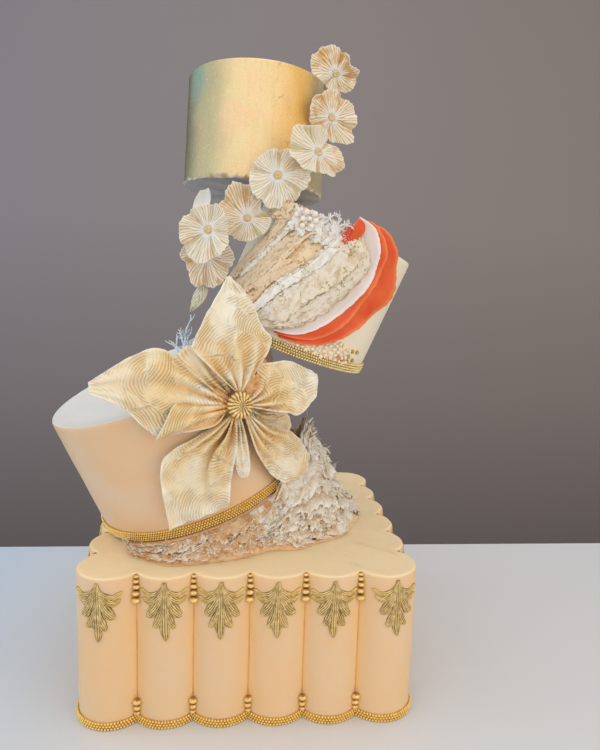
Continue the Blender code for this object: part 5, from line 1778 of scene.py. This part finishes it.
def make_tier_3_beads(pearl_material, ivory_material, dot_material, crumb_material):
    def pearls(name, shape, places, material, slot):
        spots = [(TIER_3.at(angle, height * MM, out * MM), round_axes(radius * MM))
                 for angle, height, radius, out in places]
        piece(name, *scatter(ball(*shape), spots), [material], slot)

    pearls("white_pearls", (14, 8), [(a, h, r, 6.0 + 0.5 * r) for a, h, r in PEARL_CLUSTER], pearl_material,
           "white_sugar")
    draw = random.Random(17)
    chosen = []
    for _ in range(1400):
        angle, height, radius = draw.uniform(-92, -49), draw.uniform(11.5, 30), draw.uniform(1.7, 2.2)
        if height > 12.5 + 0.62 * (angle + 92) or height > 33 - 0.55 * abs(angle + 62):
            continue
        if all(hypot(1.4 * (angle - a), height - h) > 0.98 * (radius + r) for a, h, r in chosen):
            chosen.append((angle, height, radius))
    places = [(a, h, r, 0.45 * r) for a, h, r in chosen]
    pearls("ivory_pearls", (12, 7), places, ivory_material, "white_sugar")
    pearls("gold_dots", (16, 9), [(a, h, 2.0, 0.8) for a, h in GOLD_DOTS], dot_material, "gold_pearl")
    crumbs = []
    for _ in range(80):
        angle, height = draw.gauss(-90, 1.8), draw.gauss(122, 5.0)
        out = 8.0 + draw.uniform(0, 3.5)
        crumbs.append((angle, height, draw.uniform(0.5, 1.1), out))
    pearls("coral_crumbs", (7, 4), crumbs, crumb_material, "coral_inner")


# ---------------------------------------------------------------- stage

def make_camera():
    camera = bpy.data.cameras.new("camera")
    camera.lens = CAMERA_LENS
    camera.sensor_width = 36
    view = bpy.data.objects.new("camera", camera)
    bpy.context.scene.collection.objects.link(view)
    yaw, pitch = radians(CAMERA_YAW), radians(CAMERA_PITCH)
    forward = Vector((sin(yaw) * cos(pitch), cos(yaw) * cos(pitch), sin(pitch)))
    right = forward.cross(Vector((0, 0, 1))).normalized()
    turn = Matrix((right, right.cross(forward), -forward)).transposed()
    turn = turn @ Matrix.Rotation(radians(CAMERA_ROLL), 3, "Z")
    view.matrix_world = Matrix.Translation(CAMERA_PLACE) @ turn.to_4x4()
    bpy.context.scene.camera = view


def make_stage():
    """A pale table with painted bluish window light on its left, and a grey wall with painted warmer light on
    its right, darker towards its foot.
    """
    table, tree, shader = new_material("table", 0.5)
    across = add(tree, "ShaderNodeSeparateXYZ", Vector=place_node(tree)).outputs["X"]
    # Painted bluish window light on the table's left
    tree.links.new(mix(tree, spread(tree, across, -0.34, -0.12), (198, 212, 226), (219, 219, 219)),
                   shader.inputs["Base Color"])
    wall, tree, shader = new_material("wall", 0.9)
    split = add(tree, "ShaderNodeSeparateXYZ", Vector=place_node(tree)).outputs
    # Painted warmer light on the wall's right
    high = mix(tree, spread(tree, split["X"], -0.8, 0.9), (138, 132, 135), (140, 130, 124))
    tree.links.new(mix(tree, spread(tree, split["Z"], -0.9, 0.6), (86, 76, 72), high),
                   shader.inputs["Base Color"])
    for name, corners, material in (
        ("floor", [(-4, -4, 0), (4, -4, 0), (4, 0.24, 0), (-4, 0.24, 0)], table),
        ("backdrop", [(-3.5, 1.5, -1.4), (3.5, 1.5, -1.4), (3.5, 1.5, 2.4), (-3.5, 1.5, 2.4)], wall),
    ):
        mesh = bpy.data.meshes.new(name)
        mesh.from_pydata(corners, [], [(0, 1, 2, 3)])
        mesh.materials.append(material)
        obj = bpy.data.objects.new(name, mesh)
        bpy.context.scene.collection.objects.link(obj)


def make_lights():
    world = bpy.data.worlds.new("studio")
    bpy.context.scene.world = world
    world.use_nodes = True
    background = world.node_tree.nodes["Background"]
    background.inputs["Color"].default_value = srgb(214, 214, 218)
    background.inputs["Strength"].default_value = 0.98
    for name, spot, size, power, colour in LIGHTS:
        light = bpy.data.lights.new(name, "AREA")
        light.energy, light.size, light.color = power, size, colour
        lamp = bpy.data.objects.new(name, light)
        bpy.context.scene.collection.objects.link(lamp)
        lamp.location = spot
        lamp.rotation_euler = (LIT_POINT - Vector(spot)).to_track_quat("-Z", "Y").to_euler()
    bpy.context.scene.view_settings.view_transform = "Standard"


def make_materials():
    """Materials of the tiers, and those that several pieces share."""
    return SimpleNamespace(
        # The base's last two tones are painted light: a brighter orange by the creases and a lighter top.
        base=fondant("peach_fondant", (231, 198, 157), (234, 195, 146), (250, 212, 148), (251, 225, 180)),
        tier=fondant("tier_peach", (230, 200, 164), (232, 192, 146), roughness=0.45),
        white=fondant("white_top", (226, 226, 222), (232, 228, 220), speck_share=0.05),
        cream=fondant("cream_fondant", (238, 228, 198), (240, 230, 206)),
        # The tiers' foot is dark brown as painted shade beneath them
        dark=plain("shaded_foot_board", (120, 96, 84), (96, 78, 72), 0.8),
        grey=plain("grey_foot", (158, 158, 164), (186, 184, 186), 0.6, scale=40),
        beads=gold_beads("gold_beads", (255, 226, 132), (250, 206, 106), 0.3, 0.28),
        backing=gold_beads("bead_backing", (224, 172, 92), (194, 140, 64), 0.6, 0.1),
        rope=gold_beads("pale_gold_beads", (252, 236, 182), (232, 204, 132), 0.3, 0.35),
        dots=gold_beads("dull_gold_beads", (214, 166, 78), (178, 130, 54), 0.3, 0.3),
        old_gold=old_gold(),
        pearl=plain("white_pearl", (238, 226, 212), (244, 234, 222), 0.35),
        leaf=wafer("leaf_wafer", (226, 226, 206), (150, 140, 90), (190, 180, 140), 0.9),
    )


def make_looks():
    """(material, slot) of each sheet on the third tier."""
    return {
        # Each ruffle's last colour is a painted highlight on its outer edge; each lace's second colour is its
        # painted shade in the hollows
        "coral": (ruffle("coral_paste", (224, 70, 12), (233, 96, 28), (246, 136, 74)), "coral_outer"),
        "white": (ruffle("white_paste", (224, 205, 196), (232, 214, 202), (250, 242, 236)), "white_ruffle"),
        "cream": (laced("cream_lace", (243, 224, 199), (208, 178, 140), (164, 136, 52)), "cream_lace"),
        "white_lace": (laced("white_lace", (251, 240, 226), (224, 206, 180), (168, 142, 74)), "cream_lace"),
        "peach": (laced("peach_lace", (252, 220, 180), (241, 195, 146), (190, 140, 72)), "peach_band"),
        "lace": (laced("left_lace_look", (243, 211, 173), (210, 176, 138), (168, 138, 86)), "left_lace"),
    }


def make_tiers(shared):
    beads, backing, rope = shared.beads, shared.backing, shared.rope
    make_base(shared.base)
    make_border(beads, backing)
    # The tan line down each crease is painted shade
    make_drops(gold_shells(), plain("crease_shade_line", (236, 190, 124), (224, 174, 108), 0.5, 0.1))
    make_leaves(shared.old_gold)
    make_round_tier("tier_2", TIER_2, [shared.tier, shared.white, shared.dark], "peach_fondant")
    trim_backing("tier_2_trim_backing", TIER_2, 0.6, backing)
    make_trim("tier_2_beads", TIER_2, [(1.4, 0.9), (3.8, 1.0), (6.2, 1.0), (8.6, 0.9)], 2.65, 1.2, beads,
              ["tier_2_trim"])
    make_round_tier("tier_3", TIER_3, [shared.cream, shared.cream, shared.dark], "ivory_fondant", rough=0.08)
    trim_backing("tier_3_trim_backing", TIER_3, 0.5, backing)
    make_trim("tier_3_rope", TIER_3, [(1.3, 0.8), (8.7, 0.9)], 2.7, 1.25, rope, ["tier_3_trim"], 1.3, 35)
    make_trim("tier_3_rope_middle", TIER_3, [(3.8, 1.0), (6.2, 1.0)], 2.5, 1.3, rope)
    make_round_tier("tier_4", TIER_4, [gold_leaf(), shared.cream, shared.grey], "gold_leaf",
                    rows=44, steps=240, values=gold_values, rough=0.35, ragged=1.0)


def build():
    shared = make_materials()
    make_tiers(shared)
    make_tier_sheets(make_looks())
    make_tier_3_beads(shared.pearl, plain("ivory_pearl", (242, 218, 186), (246, 228, 202), 0.35),
                      shared.dots, plain("red_crumbs", (226, 78, 50), (238, 108, 78), 0.5))
    paste = bow_paste()
    for number, petal in enumerate(PETALS):
        make_petal(number, petal, paste)
    make_roll(paste)
    make_gather(plain("gathered_paste", (228, 182, 124), (204, 146, 90), 0.5, scale=70))
    make_button(shared.old_gold)
    button = plain("flower_button", (230, 208, 158), (208, 178, 118), 0.6, 0.0, 500, 0.8)
    for number, flower in enumerate(FLOWERS):
        make_flower(number, flower, button)
    make_small_leaf(shared.leaf)
    make_curl(shared.leaf)
    make_wire(plain("florist_wire", (150, 178, 186), (124, 150, 158), 0.4, 0.4))
    make_sprigs(plain("frosted_coral", (222, 234, 242), (206, 222, 234), 0.6),
                plain("white_coral", (244, 240, 234), (226, 226, 224), 0.6), shared.pearl)
    # Each lace's second colour is its painted shade in the hollows of the crumples
    make_heap(
        laced("heap_lace_toe", (244, 210, 164), (230, 184, 132), (206, 160, 92), (246, 222, 186)),
        [laced("heap_lace_warm", (226, 184, 137), (198, 142, 92), (178, 128, 70), (248, 232, 212)),
         laced("heap_lace_white", (240, 226, 204), (208, 176, 138), (180, 146, 84), (254, 249, 242))])
    make_dowels(plain("dowel_wood", (128, 96, 78), (96, 70, 60), 0.7))
    make_camera()
    make_stage()
    make_lights()


build()
